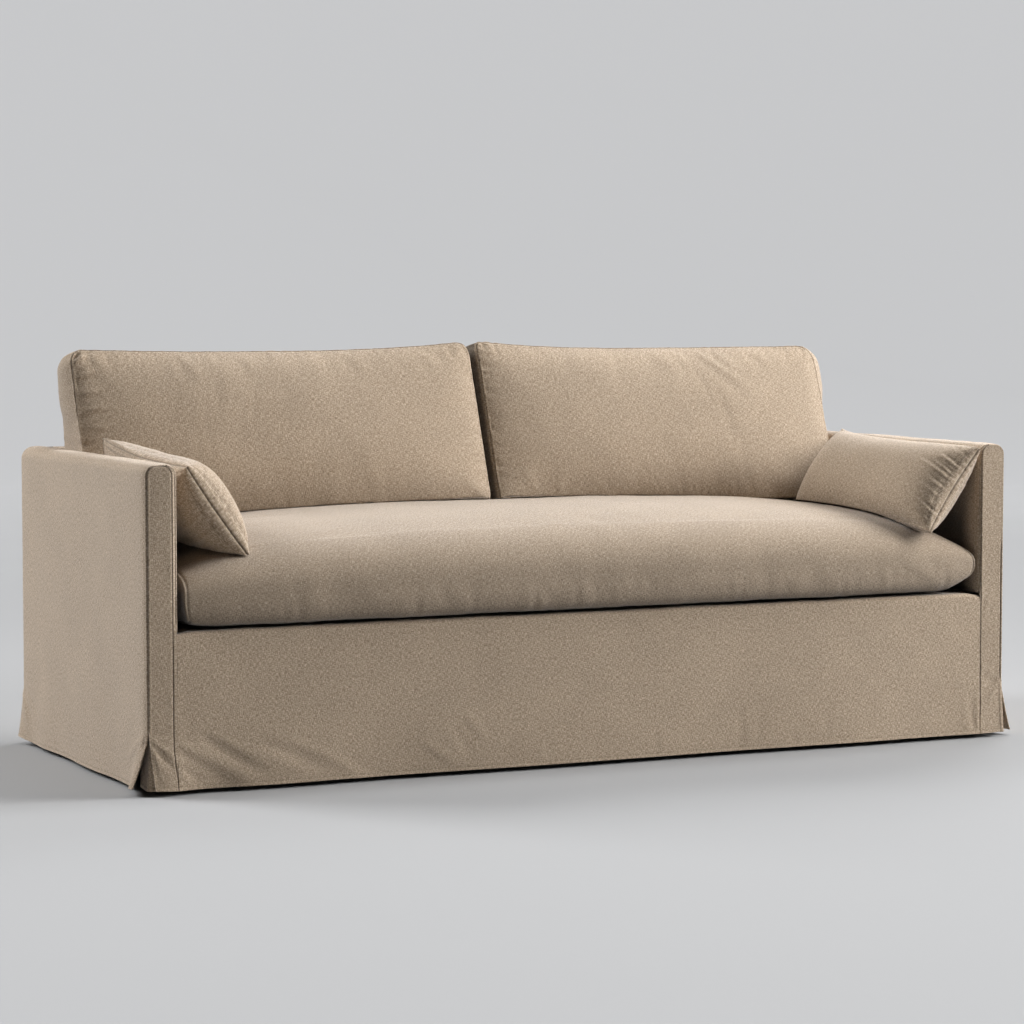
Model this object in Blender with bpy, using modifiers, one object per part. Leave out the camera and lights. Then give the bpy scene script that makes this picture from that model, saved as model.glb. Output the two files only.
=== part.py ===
"""Fitted slipcover set for a sofa: a bench seat, two back cushions and two arm pillows.

Metres, +Z up, +Y towards the back of the sofa, +X to the right of someone facing it.
The origin is the middle of the seat deck's underside, where the sofa's frame carries the cover.
Heights named *_HEIGHT or called h are above the floor; FLOOR turns them into z.
"""
import math

import bmesh
import bpy
from mathutils import Vector

# Driving dimensions.
WIDTH = 2.03                # between the outer seams of the two arm fronts
DEPTH = 0.86                # front panel to back panel
ARM_HEIGHT = 0.662
ARM_WIDTH = 0.061           # width of the narrow panel that fronts an arm
DECK_HEIGHT = 0.3295
CLOTH = 0.0025              # thickness of the cloth
HEM_HEIGHT = 0.0095         # the hem hangs just off the floor
SLIT_HEIGHT = 0.132         # top of the slit in the corner pleats
SEAM_GAP = 0.0005           # between panels that are sewn edge to edge

FLOOR = CLOTH - DECK_HEIGHT
FRONT = -DEPTH / 2
BACK = DEPTH / 2
OUTER = WIDTH / 2
INNER = OUTER - ARM_WIDTH
ARM_SWELL = 0.006           # how far the arm's cloth stands out behind its seams
ARM_FRONT_RADIUS = 0.020    # rounding of the arm's top, at the front and at the back
ARM_BACK_RADIUS = 0.027
ARM_FACE = INNER - ARM_SWELL

LINEN = (0.395, 0.302, 0.212)


def above_floor(height):
    return FLOOR + height


def blend(start, end, share):
    return start + (end - start) * share


def hump(distance, width):
    """A soft bump: 1 at distance 0, falling to nothing over about two widths."""
    return math.exp(-(distance / width) ** 2)


def slit_opening(height):
    """0 at the top of a corner slit, growing to 1 at the hem."""
    share = (SLIT_HEIGHT - height) / (SLIT_HEIGHT - HEM_HEIGHT)
    return min(max(share, 0.0), 1.0) ** 1.25


def stations(length, ends, middle):
    """Distances along a panel, close together near both ends: ends lists the close ones."""
    inner = [blend(ends[-1], length - ends[-1], step / middle) for step in range(1, middle)]
    return list(ends) + inner + [length - distance for distance in reversed(ends)]


def add_material(obj):
    material = bpy.data.materials.new(obj.name)
    material.use_nodes = True
    shader = material.node_tree.nodes["Principled BSDF"]
    shader.inputs["Base Color"].default_value = (*LINEN, 1.0)
    shader.inputs["Roughness"].default_value = 0.92
    shader.inputs["Metallic"].default_value = 0.0
    obj.data.materials.append(material)


def keep(obj, name):
    """Name an object and move it to the collection of the parts."""
    obj.name = name
    for owner in list(obj.users_collection):
        owner.objects.unlink(obj)
    parts.objects.link(obj)
    add_material(obj)
    obj.data.shade_smooth()
    obj.data.set_sharp_from_angle(angle=math.radians(50))
    return obj


def make_sheet(name, columns, rows, place, faces_out=True):
    """A grid bent by place(column, row) into the cloth's outer surface, then given its thickness.

    faces_out says that the grid's own normals point to the visible side.
    """
    bpy.ops.mesh.primitive_grid_add(x_subdivisions=columns, y_subdivisions=rows, size=2)
    obj = bpy.context.object
    for vertex in obj.data.vertices:
        column = round((vertex.co.x + 1) / 2 * columns)
        row = round((vertex.co.y + 1) / 2 * rows)
        vertex.co = place(column, row)
    solidify = obj.modifiers.new("cloth", "SOLIDIFY")
    solidify.thickness = CLOTH
    solidify.offset = -1 if faces_out else 1
    solidify.use_even_offset = True
    return keep(obj, name)


def make_cushion(name, x_cuts, y_cuts, z_cuts, place):
    """A cube cut into a grid by planes, then shaped by place(a, b, c), each from -1 to 1."""
    mesh = bpy.data.meshes.new(name)
    shape = bmesh.new()
    bmesh.ops.create_cube(shape, size=2)
    for normal, cuts in ((Vector((1, 0, 0)), x_cuts), (Vector((0, 1, 0)), y_cuts),
                         (Vector((0, 0, 1)), z_cuts)):
        for cut in cuts:
            everything = shape.verts[:] + shape.edges[:] + shape.faces[:]
            bmesh.ops.bisect_plane(shape, geom=everything, plane_co=normal * cut, plane_no=normal)
    for vertex in shape.verts:
        vertex.co = place(*vertex.co)
    if shape.calc_volume(signed=True) < 0:
        bmesh.ops.reverse_faces(shape, faces=shape.faces)
    shape.to_mesh(mesh)
    shape.free()
    obj = bpy.data.objects.new(name, mesh)
    bpy.context.scene.collection.objects.link(obj)
    return keep(obj, name)


def even_cuts(count, crowding=1.0):
    """Cuts between -1 and 1, crowded towards the ends when crowding is under 1."""
    cuts = [-1 + 2 * step / count for step in range(1, count)]
    return [math.copysign(abs(cut) ** crowding, cut) for cut in cuts]


# ---- How the skirts hang ----

# Each fold stands out (or in, where out is negative) by "out" at the hem and dies away at "reach".
FRONT_FOLDS = (
    {"x": -0.965, "width": 0.035, "out": 0.007, "reach": 0.150},
    {"x": -0.880, "width": 0.060, "out": -0.005, "reach": 0.210},
    {"x": -0.740, "width": 0.090, "out": 0.006, "reach": 0.240},
    {"x": -0.450, "width": 0.120, "out": -0.003, "reach": 0.200},
    {"x": -0.100, "width": 0.160, "out": 0.004, "reach": 0.230},
    {"x": 0.300, "width": 0.130, "out": -0.003, "reach": 0.200},
    {"x": 0.650, "width": 0.120, "out": 0.004, "reach": 0.220},
    {"x": 0.950, "width": 0.050, "out": 0.005, "reach": 0.150},
)
SIDE_FOLDS = (
    {"y": -0.220, "width": 0.070, "out": -0.003, "reach": 0.200},
    {"y": -0.060, "width": 0.090, "out": 0.004, "reach": 0.260},
    {"y": 0.120, "width": 0.070, "out": -0.002, "reach": 0.180},
    {"y": 0.250, "width": 0.060, "out": 0.004, "reach": 0.200},
)
BACK_FOLDS = (
    {"x": -0.700, "width": 0.120, "out": 0.005, "reach": 0.220},
    {"x": -0.300, "width": 0.150, "out": -0.003, "reach": 0.200},
    {"x": 0.150, "width": 0.160, "out": 0.005, "reach": 0.240},
    {"x": 0.620, "width": 0.130, "out": -0.003, "reach": 0.200},
)
# At the hem, how far each side panel's free corner stands out, draws away from the slit and lifts,
# and how far the front or back panel beside it draws in (panel_in) and stands out (panel_out).
CORNERS = (
    {"side": -1, "end": -1, "out": 0.027, "draw": 0.022, "lift": 0.005,
     "panel_in": 0.011, "panel_out": 0.006},
    {"side": 1, "end": -1, "out": 0.033, "draw": 0.010, "lift": 0.002,
     "panel_in": -0.004, "panel_out": 0.004},
    {"side": -1, "end": 1, "out": 0.017, "draw": 0.010, "lift": 0.008,
     "panel_in": 0.010, "panel_out": 0.006},
    {"side": 1, "end": 1, "out": 0.018, "draw": 0.012, "lift": 0.004,
     "panel_in": 0.008, "panel_out": 0.005},
)
FLARE_WIDTH = 0.060


def corner_at(side, end):
    return next(row for row in CORNERS if row["side"] == side and row["end"] == end)


def fold_depth(folds, axis, position, height):
    """How far the cloth stands out of its plane at a place on a skirt."""
    depth = 0.0
    for fold in folds:
        fall = max(0.0, 1 - (height - HEM_HEIGHT) / fold["reach"])
        depth += fold["out"] * fall ** 1.5 * hump(position - fold[axis], fold["width"])
    return depth


# ---- Arms ----

def arm_section(radius, swell):
    """Outer hem, up, over the top and down to the deck: pairs of x (on the right arm) and height."""
    outer = OUTER + swell
    inner = INNER - swell
    top = ARM_HEIGHT + swell / 2
    wall_top = top - radius
    section = [(outer, height) for height in (HEM_HEIGHT, 0.036, 0.063, 0.091, SLIT_HEIGHT,
                                              0.170, 0.250, 0.380, 0.520)]
    for step in range(5):
        angle = math.radians(90 * step / 4)
        section.append((outer - radius + radius * math.cos(angle),
                        wall_top + radius * math.sin(angle)))
    for step in range(5):
        angle = math.radians(90 - 90 * step / 4)
        section.append((inner + radius - radius * math.cos(angle),
                        wall_top + radius * math.sin(angle)))
    section += [(inner, height) for height in (0.500, DECK_HEIGHT + SEAM_GAP)]
    return section


def make_arm_cover(name, side):
    """One cloth over the arm: outside panel with its hem, rounded top, inside panel."""
    length = DEPTH - 2 * (CLOTH + SEAM_GAP)
    along = stations(length, (0.0, 0.007, 0.018, 0.040, 0.075, 0.120), 6)

    def place(column, row):
        distance = along[column]
        to_edge = min(distance, length - distance)
        swell = ARM_SWELL * (1 - math.exp(-to_edge / 0.010))
        radius = blend(ARM_FRONT_RADIUS, ARM_BACK_RADIUS, distance / length)
        x, height = arm_section(radius, swell)[row]
        y = FRONT + CLOTH + SEAM_GAP + distance
        if x > OUTER - radius and height < ARM_HEIGHT - radius:
            opening = slit_opening(height)
            near = hump(to_edge, FLARE_WIDTH)
            end = -1 if distance < length / 2 else 1
            corner = corner_at(side, end)
            x += corner["out"] * opening * near + fold_depth(SIDE_FOLDS, "y", y, height)
            y -= end * corner["draw"] * opening * near
            height += corner["lift"] * opening * near
        return side * x, y, above_floor(height)

    rows = len(arm_section(ARM_FRONT_RADIUS, 0.0)) - 1
    return make_sheet(name, len(along) - 1, rows, place, faces_out=side > 0)


def make_arm_front(name, side):
    """The narrow panel down the front of an arm, from its rounded top to the hem."""
    heights = [HEM_HEIGHT, 0.036, 0.063, 0.091, SLIT_HEIGHT, 0.170, 0.250, DECK_HEIGHT, 0.480]
    heights += [ARM_HEIGHT - ARM_FRONT_RADIUS * (1 - math.sin(math.radians(90 * step / 4)))
                for step in range(5)]
    across = (0.0, 0.15, 0.5, 0.85, 1.0)
    corner = corner_at(side, -1)

    def place(column, row):
        height = heights[row]
        rise = max(0.0, height - (ARM_HEIGHT - ARM_FRONT_RADIUS))
        inset = ARM_FRONT_RADIUS - math.sqrt(max(ARM_FRONT_RADIUS ** 2 - rise ** 2, 0.0))
        opening = slit_opening(height)
        inner = INNER + SEAM_GAP + inset
        outer = OUTER - inset - corner["panel_in"] * opening
        x = side * blend(inner, outer, across[column])
        stand = corner["panel_out"] * opening * across[column] + fold_depth(FRONT_FOLDS, "x", x, height)
        height += corner["lift"] * 0.6 * opening * across[column]
        return x, FRONT - stand, above_floor(height)

    return make_sheet(name, len(across) - 1, len(heights) - 1, place, faces_out=side > 0)


# ---- Front skirt and deck ----

DECK_EDGE_RADIUS = 0.010
DECK_TURN = 0.028           # how far the skirt runs on over the top of the frame's front rail


def make_front_skirt():
    """The panel between the arms: hem, front, soft edge and the strip that turns onto the deck."""
    radius = DECK_EDGE_RADIUS
    profile = [(0.0, height) for height in (HEM_HEIGHT, 0.036, 0.070, SLIT_HEIGHT, 0.170, 0.240)]
    for step in range(5):
        angle = math.radians(90 * step / 4)
        profile.append((radius * (1 - math.cos(angle)),
                        DECK_HEIGHT - radius * (1 - math.sin(angle))))
    profile.append((DECK_TURN, DECK_HEIGHT))
    half = INNER - SEAM_GAP
    along = stations(2 * half, (0.0, 0.030, 0.070), 22)

    def place(column, row):
        inward, height = profile[row]
        x = along[column] - half
        stand = fold_depth(FRONT_FOLDS, "x", x, height) if inward == 0 else 0.0
        return x, FRONT - stand + inward, above_floor(height)

    return make_sheet("front_skirt", len(along) - 1, len(profile) - 1, place)


INSIDE_BACK_FOOT = BACK - 0.085     # where the inside back's cloth meets the deck
INSIDE_BACK_TOP = BACK - 0.062      # its face at the top
BACK_RAIL_RADIUS = 0.018


def make_seat_deck():
    """The flat cloth under the seat cushion."""
    start = FRONT + DECK_TURN + SEAM_GAP
    half = INNER - SEAM_GAP

    def place(column, row):
        return blend(-half, half, column / 4), blend(start, INSIDE_BACK_FOOT + CLOTH, row / 2), CLOTH

    return make_sheet("seat_deck", 4, 2, place)


# ---- Back ----

def make_inside_back():
    """Over the top of the back rail and down its front to the deck, between the arms."""
    radius = BACK_RAIL_RADIUS
    profile = [(BACK - CLOTH - SEAM_GAP, ARM_HEIGHT)]
    for step in range(5):
        angle = math.radians(90 * step / 4)
        profile.append((INSIDE_BACK_TOP + radius * (1 - math.sin(angle)),
                        ARM_HEIGHT - radius * (1 - math.cos(angle))))
    profile.append((blend(INSIDE_BACK_FOOT, INSIDE_BACK_TOP, 0.5), 0.500))
    profile.append((INSIDE_BACK_FOOT, DECK_HEIGHT + SEAM_GAP))
    half = ARM_FACE - SEAM_GAP

    def place(column, row):
        y, height = profile[row]
        return blend(half, -half, column / 10), y, above_floor(height)

    return make_sheet("inside_back", 10, len(profile) - 1, place, faces_out=False)


def make_outside_back():
    """The panel that closes the sofa's back, with its own hem and slit corners."""
    heights = [HEM_HEIGHT, 0.036, 0.063, 0.091, SLIT_HEIGHT, 0.170, 0.250, 0.450]
    heights += [ARM_HEIGHT - ARM_BACK_RADIUS * (1 - math.sin(math.radians(90 * step / 4)))
                for step in range(5)]
    shares = [distance / 2 for distance in stations(2.0, (0.0, 0.012, 0.035, 0.080), 14)]

    def place(column, row):
        height = heights[row]
        rise = max(0.0, height - (ARM_HEIGHT - ARM_BACK_RADIUS))
        inset = ARM_BACK_RADIUS - math.sqrt(max(ARM_BACK_RADIUS ** 2 - rise ** 2, 0.0))
        opening = slit_opening(height)
        corner = corner_at(1 if shares[column] < 0.5 else -1, 1)
        half = OUTER - inset - corner["panel_in"] * opening
        x = blend(half, -half, shares[column])
        edge = hump(half - abs(x), FLARE_WIDTH)
        stand = corner["panel_out"] * opening * edge + fold_depth(BACK_FOLDS, "x", x, height)
        height += corner["lift"] * 0.6 * opening * edge
        return x, BACK + stand, above_floor(height)

    return make_sheet("outside_back", len(shares) - 1, len(heights) - 1, place)


# ---- Corner pleats ----

PLEAT_LEG = 0.072           # how far the underlay runs behind each panel
PLEAT_SET_IN = 0.006       # air between the panels and the underlay
PLEAT_TOP = SLIT_HEIGHT + 0.020
PLEAT_RADIUS = 0.010
PLEAT_SPLAY = (0.010, 0.003)    # how far its corner comes out into the slit at the hem, in x and y


def make_pleat(name, side, end):
    """The folded underlay behind a corner slit. side is -1 left or 1 right, end -1 front or 1 back."""
    corner_x = OUTER - CLOTH - PLEAT_SET_IN
    corner_y = BACK - CLOTH - PLEAT_SET_IN
    path = [(corner_x, corner_y - PLEAT_LEG), (corner_x, corner_y - 0.040)]
    for step in range(4):
        angle = math.radians(90 * step / 3)
        path.append((corner_x - PLEAT_RADIUS * (1 - math.cos(angle)),
                     corner_y - PLEAT_RADIUS * (1 - math.sin(angle))))
    path += [(corner_x - 0.040, corner_y), (corner_x - PLEAT_LEG, corner_y)]
    bottom = HEM_HEIGHT + 0.001

    def place(column, row):
        x, y = path[column]
        from_corner = math.hypot(corner_x - x, corner_y - y)
        splay = (1 - row / 3) ** 1.5 * max(0.0, 1 - from_corner / PLEAT_LEG)
        x += PLEAT_SPLAY[0] * splay
        y += PLEAT_SPLAY[1] * splay
        return side * x, end * y, above_floor(blend(bottom, PLEAT_TOP, row / 3))

    return make_sheet(name, len(path) - 1, 3, place, faces_out=side * end > 0)


# ---- Seat cushion ----

SEAT = {
    "half_length": ARM_FACE - 0.0025,
    "front": FRONT - 0.020,         # the nose hangs a little over the front rail
    "back": INSIDE_BACK_FOOT - 0.010,
    "middle": -0.040,               # where the crown is highest
    "bottom": DECK_HEIGHT + 0.003,
    "nose": 0.396,                  # height of the foremost line
    "nose_drop": 0.064,             # from the nose down to the underside
    "ends": {                       # how far the underside rises and the seams draw in at each end
        -1: {"lift": 0.012, "lift_power": 70, "draw": 0.008, "pinch": 0.012},
        1: {"lift": 0.022, "lift_power": 32, "draw": 0.004, "pinch": 0.042},
    },
    "crown": 0.541,
}


def seat_crown(share):
    """Height of the crown, which falls away towards the ends (share 1)."""
    rise = SEAT["crown"] - SEAT["bottom"]
    return SEAT["bottom"] + rise * (1 - 0.23 * share ** 3 - 0.18 * share ** 12)


def seat_reach(share):
    """How far forward the nose comes: least at the ends."""
    return SEAT["front"] + 0.020 * share ** 6


def round_off(b, c, power):
    """Turn a place on a square ring into one on a superellipse."""
    ring = max(abs(b), abs(c))
    if ring == 0:
        return 0.0, 0.0
    scale = ring / (abs(b) ** power + abs(c) ** power) ** (1 / power)
    return b * scale, c * scale


def seat_point(a, b, c):
    share = abs(a)
    power = 2.7
    if b < 0:
        power = 2.9 if c > 0 else 11.0
    ring = max(abs(b), abs(c))
    end = SEAT["ends"][-1 if a < 0 else 1]
    b, c = round_off(b, c, power)
    depth = SEAT["middle"] - seat_reach(share) if b < 0 else SEAT["back"] - SEAT["middle"]
    y = SEAT["middle"] + b * depth
    if c > 0:
        height = SEAT["nose"] + c * (seat_crown(share) - SEAT["nose"])
    else:
        height = max(SEAT["bottom"], SEAT["nose"] + c * SEAT["nose_drop"])
        height += end["lift"] * share ** end["lift_power"] * abs(c)
    draw_in = (end["draw"] * ring ** 4 + end["pinch"] * abs(c) ** 2.3) * share ** 12
    x = math.copysign(share * SEAT["half_length"] - draw_in, a)
    return x, y, above_floor(height)


def seat_top(x, y):
    """Height of the seat cushion's top, for whatever rests on it."""
    share = min(abs(x) / SEAT["half_length"], 1.0)
    if y < SEAT["middle"]:
        b, power = (SEAT["middle"] - y) / (SEAT["middle"] - seat_reach(share)), 2.9
    else:
        b, power = (y - SEAT["middle"]) / (SEAT["back"] - SEAT["middle"]), 2.7
    c = (1 - min(b, 1.0) ** power) ** (1 / power)
    return SEAT["nose"] + c * (seat_crown(share) - SEAT["nose"])


def make_seat_cushion():
    return make_cushion("seat_cushion", even_cuts(22, 0.8) + [-0.985, 0.985], even_cuts(12, 0.9), even_cuts(6, 0.9),
                        seat_point)


# ---- Back cushions ----

# The sewn edges of a back cushion's boxing, seen from its side: it is thicker at the foot.
BACK_CUSHION = {
    "front_foot": (0.150, 0.515),       # y, height
    "front_top": (0.290, 0.873),
    "rear_foot": (0.346, 0.490),
    "rear_top": (0.378, 0.838),
    "front_crown": 0.042,
    "rear_crown": 0.006,
    "bulge_fade": 0.12,                 # how far above the arm the outer boxing reaches its full bulge
    "clearance": 0.004,
}
# Where each cushion's seams run, from the middle of the sofa to its arm. The top edge rises towards
# both upper corners, which are rounded, and the boxing bulges between the seams.
BACK_CUSHION_FITS = {
    -1: {
        "front": (-0.0135, 0.946), "rear": (-0.0135, 0.938), "rise": (0.019, 0.008),
        "bulge": (0.0, 0.020), "corner": (0.030, 0.028),
    },
    1: {
        "front": (0.034, 0.938), "rear": (0.034, 0.940), "rise": (0.019, 0.002),
        "bulge": (0.018, 0.038), "corner": (0.012, 0.042),
    },
}


def round_corner(a, c, half_width, half_height, radius):
    """Turn a place near a square corner into one on a round corner."""
    past = abs(a) * half_width - (half_width - radius)
    over = abs(c) * half_height - (half_height - radius)
    if past <= 0 or over <= 0:
        return a, c
    scale = max(past, over) / math.hypot(past, over)
    return (math.copysign((half_width - radius + past * scale) / half_width, a),
            math.copysign((half_height - radius + over * scale) / half_height, c))


def make_back_cushion(name, side):
    """A boxed cushion leaning back: a across, b from front to rear, c from foot to top."""
    size = BACK_CUSHION
    fit = BACK_CUSHION_FITS[side]
    half_height = (size["front_top"][1] - size["front_foot"][1]) / 2

    def place(a, b, c):
        a *= side                   # -1 at the middle of the sofa, 1 at its arm
        end = 1 if a > 0 else 0
        deep = (b + 1) / 2
        inner = blend(fit["front"][0], fit["rear"][0], deep)
        outer = blend(fit["front"][1], fit["rear"][1], deep)
        half_width = (outer - inner) / 2
        a, c = round_corner(a, c, half_width, half_height, fit["corner"][end])
        swell = max(1 - abs(a) ** 2.6, 0) * max(1 - abs(c) ** 2.4, 0)
        crown = size["rear_crown"] * b if b > 0 else size["front_crown"] * b
        share = (c + 1) / 2
        front_y = blend(size["front_foot"][0], size["front_top"][0], share)
        rear_y = blend(size["rear_foot"][0], size["rear_top"][0], share)
        front_height = blend(size["front_foot"][1], size["front_top"][1], share)
        rear_height = blend(size["rear_foot"][1], size["rear_top"][1], share)
        y = blend(front_y, rear_y, deep) + crown * swell
        height = blend(front_height, rear_height, deep) - 0.3 * crown * swell
        height += fit["rise"][end] * abs(a) ** 2.4 * share
        bulge = fit["bulge"][end] * (1 - b * b)
        if end:
            bulge *= min(max((height - ARM_HEIGHT) / size["bulge_fade"], 0), 1)
        x = side * ((inner + outer) / 2 + a * (half_width + bulge))
        height = max(height, seat_top(x, y) + size["clearance"])
        if height < ARM_HEIGHT + 0.02:
            y = min(y, INSIDE_BACK_TOP - 0.006)
            x = side * min(side * x, ARM_FACE - 0.003)
        return x, y, above_floor(height)

    return make_cushion(name, even_cuts(12, 0.8), even_cuts(2), even_cuts(8, 0.8), place)


# ---- Arm pillows ----

ARM_PILLOW = {
    "half_length": 0.234,
    "half_height": 0.1125,
    "crowns": (0.0704, 0.0643),     # towards the seat and towards the arm
    "fullness": (5.6, 2.0, 0.49),   # how blunt it is along its length and its height, and how steep
    "edge": 0.003,                  # half the thickness of the sewn edge
    "draw": 0.009,
    "clearance": 0.004,
}
# Where each pillow's middle lies, and in degrees: pitch lifts its rear end onto the seat's crown,
# yaw turns that end away from the arm, and lean tips its top towards the arm.
ARM_PILLOW_PLACES = {
    -1: {"x": 0.8834, "y": -0.1631, "height": 0.5851, "pitch": 4.4, "yaw": -7.3, "lean": 35.4},
    1: {"x": 0.8305, "y": -0.2207, "height": 0.5758, "pitch": 2.2, "yaw": 10.0, "lean": 35.3},
}


def make_arm_pillow(name, side):
    """A knife-edged pillow, its foot on the seat and its top against the arm."""
    size = ARM_PILLOW
    lie = ARM_PILLOW_PLACES[side]
    lean = math.radians(lie["lean"])
    pitch, yaw = math.radians(lie["pitch"]), math.radians(lie["yaw"])
    along = Vector((-math.tan(yaw), 1, math.tan(pitch))).normalized()
    up = Vector((math.sin(lean), 0, math.cos(lean)))
    through = along.cross(up).normalized()
    middle = Vector((lie["x"], lie["y"], lie["height"]))
    length_power, height_power, steepness = size["fullness"]

    def place(a, b, c):
        swell = max((1 - abs(a) ** length_power) * (1 - abs(c) ** height_power), 0) ** steepness
        thickness = size["edge"] + size["crowns"][1 if b > 0 else 0] * swell
        length = a * (size["half_length"] - size["draw"] * (1 - c * c))
        height = c * (size["half_height"] - size["draw"] * (1 - a * a))
        point = middle + along * length + up * height + through * b * thickness
        x = min(point.x, ARM_FACE - size["clearance"])
        z = max(point.z, seat_top(x, point.y) + size["clearance"])
        return side * x, point.y, above_floor(z)

    return make_cushion(name, even_cuts(14, 0.6), [], even_cuts(10, 0.7), place)


# ---- Build ----

for old in list(bpy.data.objects):
    bpy.data.objects.remove(old)

parts = bpy.data.collections.new("sofa_slipcover")
bpy.context.scene.collection.children.link(parts)

for word, direction in (("left", -1), ("right", 1)):
    make_arm_cover("arm_cover_" + word, direction)
    make_arm_front("arm_front_" + word, direction)
    make_pleat("pleat_front_" + word, direction, -1)
    make_pleat("pleat_back_" + word, direction, 1)
    make_back_cushion("back_cushion_" + word, direction)
    make_arm_pillow("arm_pillow_" + word, direction)
make_front_skirt()
make_seat_deck()
make_inside_back()
make_outside_back()
make_seat_cushion()
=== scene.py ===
import math

import bpy
import numpy as np
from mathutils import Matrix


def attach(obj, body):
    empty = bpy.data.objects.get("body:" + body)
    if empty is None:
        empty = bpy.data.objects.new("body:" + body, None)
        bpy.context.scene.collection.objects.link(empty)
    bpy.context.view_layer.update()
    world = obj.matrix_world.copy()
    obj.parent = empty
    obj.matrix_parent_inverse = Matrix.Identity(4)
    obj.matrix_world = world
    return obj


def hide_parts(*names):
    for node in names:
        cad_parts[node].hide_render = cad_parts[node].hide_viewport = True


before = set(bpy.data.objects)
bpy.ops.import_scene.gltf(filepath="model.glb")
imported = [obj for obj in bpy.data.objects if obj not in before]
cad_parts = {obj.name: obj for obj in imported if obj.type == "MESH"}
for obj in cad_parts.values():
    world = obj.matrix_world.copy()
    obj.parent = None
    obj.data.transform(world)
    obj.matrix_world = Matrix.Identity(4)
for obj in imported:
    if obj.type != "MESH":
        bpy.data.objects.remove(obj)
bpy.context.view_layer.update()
scene = bpy.context.scene

cover = {                       # metres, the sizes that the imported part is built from
    "width": 2.03,
    "depth": 0.86,
    "armHeight": 0.662,
    "armWidth": 0.061,
    "deckHeight": 0.3295,
    "cloth": 0.0025,
    "hem": 0.0095,              # the hem hangs just off the floor
    "slit": 0.132,              # top of the slits at the corners
    "gap": 0.0005,              # between panels sewn edge to edge
    "swell": 0.006,             # how far the arm's cloth stands out behind its seams
    "armFrontRadius": 0.020,
    "armBackRadius": 0.027,
    "flareWidth": 0.060,
}
floorZ = cover["cloth"] - cover["deckHeight"]
frontY, backY = -cover["depth"] / 2, cover["depth"] / 2
outerX = cover["width"] / 2
innerX = outerX - cover["armWidth"]
armFaceX = innerX - cover["swell"]

sewing = {                      # metres
    "seamSink": 0.0034,         # how deep the cloth rolls into a seam
    "seamWidth": 0.0012,
    "ridge": 0.0010,            # the seam allowance shows as a low ridge beside the seam
    "ridgeAt": 0.0036,
    "ridgeWidth": 0.0020,
    "hemBand": 0.0072,          # depth of the turned hem
    "hemRise": 0.0006,
    "stitchSink": 0.0006,
    "stitchLength": 0.0031,
    "stitchStep": 0.0042,
    "threadRadius": 0.0004,
}


# ---- Small tools ----

def smoothStep(x):
    x = np.clip(x, 0, 1)
    return x * x * (3 - 2 * x)


def bump(distance, width):
    return np.exp(-(distance / width) ** 2)


def softNoise(u, v, size, seed):            # soft hills about "size" across, -1 to 1
    table = np.random.default_rng(seed).uniform(-1, 1, (64, 64))
    x, y = np.broadcast_arrays(u / size + 20.5, v / size + 20.5)
    i, j = np.floor(x).astype(int), np.floor(y).astype(int)
    fx, fy = smoothStep(x - i), smoothStep(y - j)
    near = table[i % 64, j % 64] * (1 - fx) + table[(i + 1) % 64, j % 64] * fx
    far = table[i % 64, (j + 1) % 64] * (1 - fx) + table[(i + 1) % 64, (j + 1) % 64] * fx
    return near * (1 - fy) + far * fy


def drape(u, v, away, rows, seed):      # uneven cloth: height and size of its hills, fade at the seams
    total = 0
    for number, (height, size, fade) in enumerate(rows):
        hills = height * softNoise(u, v, size, seed + number)
        total = total + (hills * smoothStep(away / fade) if fade else hills)
    return total


def creases(u, v, rows):        # soft folds: where each starts and ends, its width and its height
    total = np.zeros(np.broadcast(u, v).shape)
    for u0, v0, u1, v1, width, rise in rows:
        length = math.hypot(u1 - u0, v1 - v0)
        t = ((u - u0) * (u1 - u0) + (v - v0) * (v1 - v0)) / length ** 2
        d = ((u - u0) * (v1 - v0) - (v - v0) * (u1 - u0)) / length
        w = width * (0.55 + 0.6 * np.clip(t, 0, 1))
        ends = smoothStep((t + 0.04) / 0.16) * smoothStep((1.05 - t) / 0.55)
        total += rise * ends * (bump(d, w) - 0.45 * bump(d - 1.9 * w, 1.1 * w))
    return total


def puckers(along, away, row, seed):        # little gathers that run out from a seam
    height, spacing, reach = row
    drift = 0.35 * softNoise(along, 0 * away, 0.09, seed + 7)
    length = reach * (1 + 0.6 * softNoise(along, 0 * away, 0.05, seed + 3))
    wave = softNoise(along + drift * away, away * 0.25, spacing, seed)
    return height * (wave * np.exp(-np.abs(away) / length) * (1 - bump(away, 0.0035)))


def seamRelief(d, ridge=1.0):               # across a seam: a sharp dip and a low ridge beside it
    dip = -sewing["seamSink"] * bump(d, sewing["seamWidth"])
    low = -sewing["stitchSink"] * bump(d - sewing["hemBand"], 0.0015)
    return dip + ridge * (sewing["ridge"] * bump(d - sewing["ridgeAt"], sewing["ridgeWidth"]) + low)


def seamShade(d, ridge=1.0):                # painted shade down in a seam and along its stitches, with a painted highlight on the ridge beside it
    line = 0.56 * bump(d, 0.0012) + 0.18 * ridge * bump(d - sewing["hemBand"], 0.0009)
    return 1 - line + 0.08 * ridge * bump(d - sewing["ridgeAt"], 0.0015)


# painted highlight on the turned hem band and its edge, painted shade along its stitch line
def hemShade(d):
    band = 1 - smoothStep((d - sewing["hemBand"]) / 0.001)
    return 1 + 0.07 * band + 0.10 * bump(d, 0.0016) - 0.34 * bump(d - sewing["hemBand"], 0.0011)


def hemRelief(d):                           # across a turned hem: a doubled band and its stitch line
    band = sewing["hemRise"] * (1 - smoothStep((d - sewing["hemBand"]) / 0.0014))
    return band - sewing["stitchSink"] * bump(d - sewing["hemBand"], 0.0009)


def spread(start, end, step):
    return np.linspace(start, end, max(2, round(abs(end - start) / step) + 1))


def joinSteps(*groups):
    return np.unique(np.round(np.concatenate(groups), 6))


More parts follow.
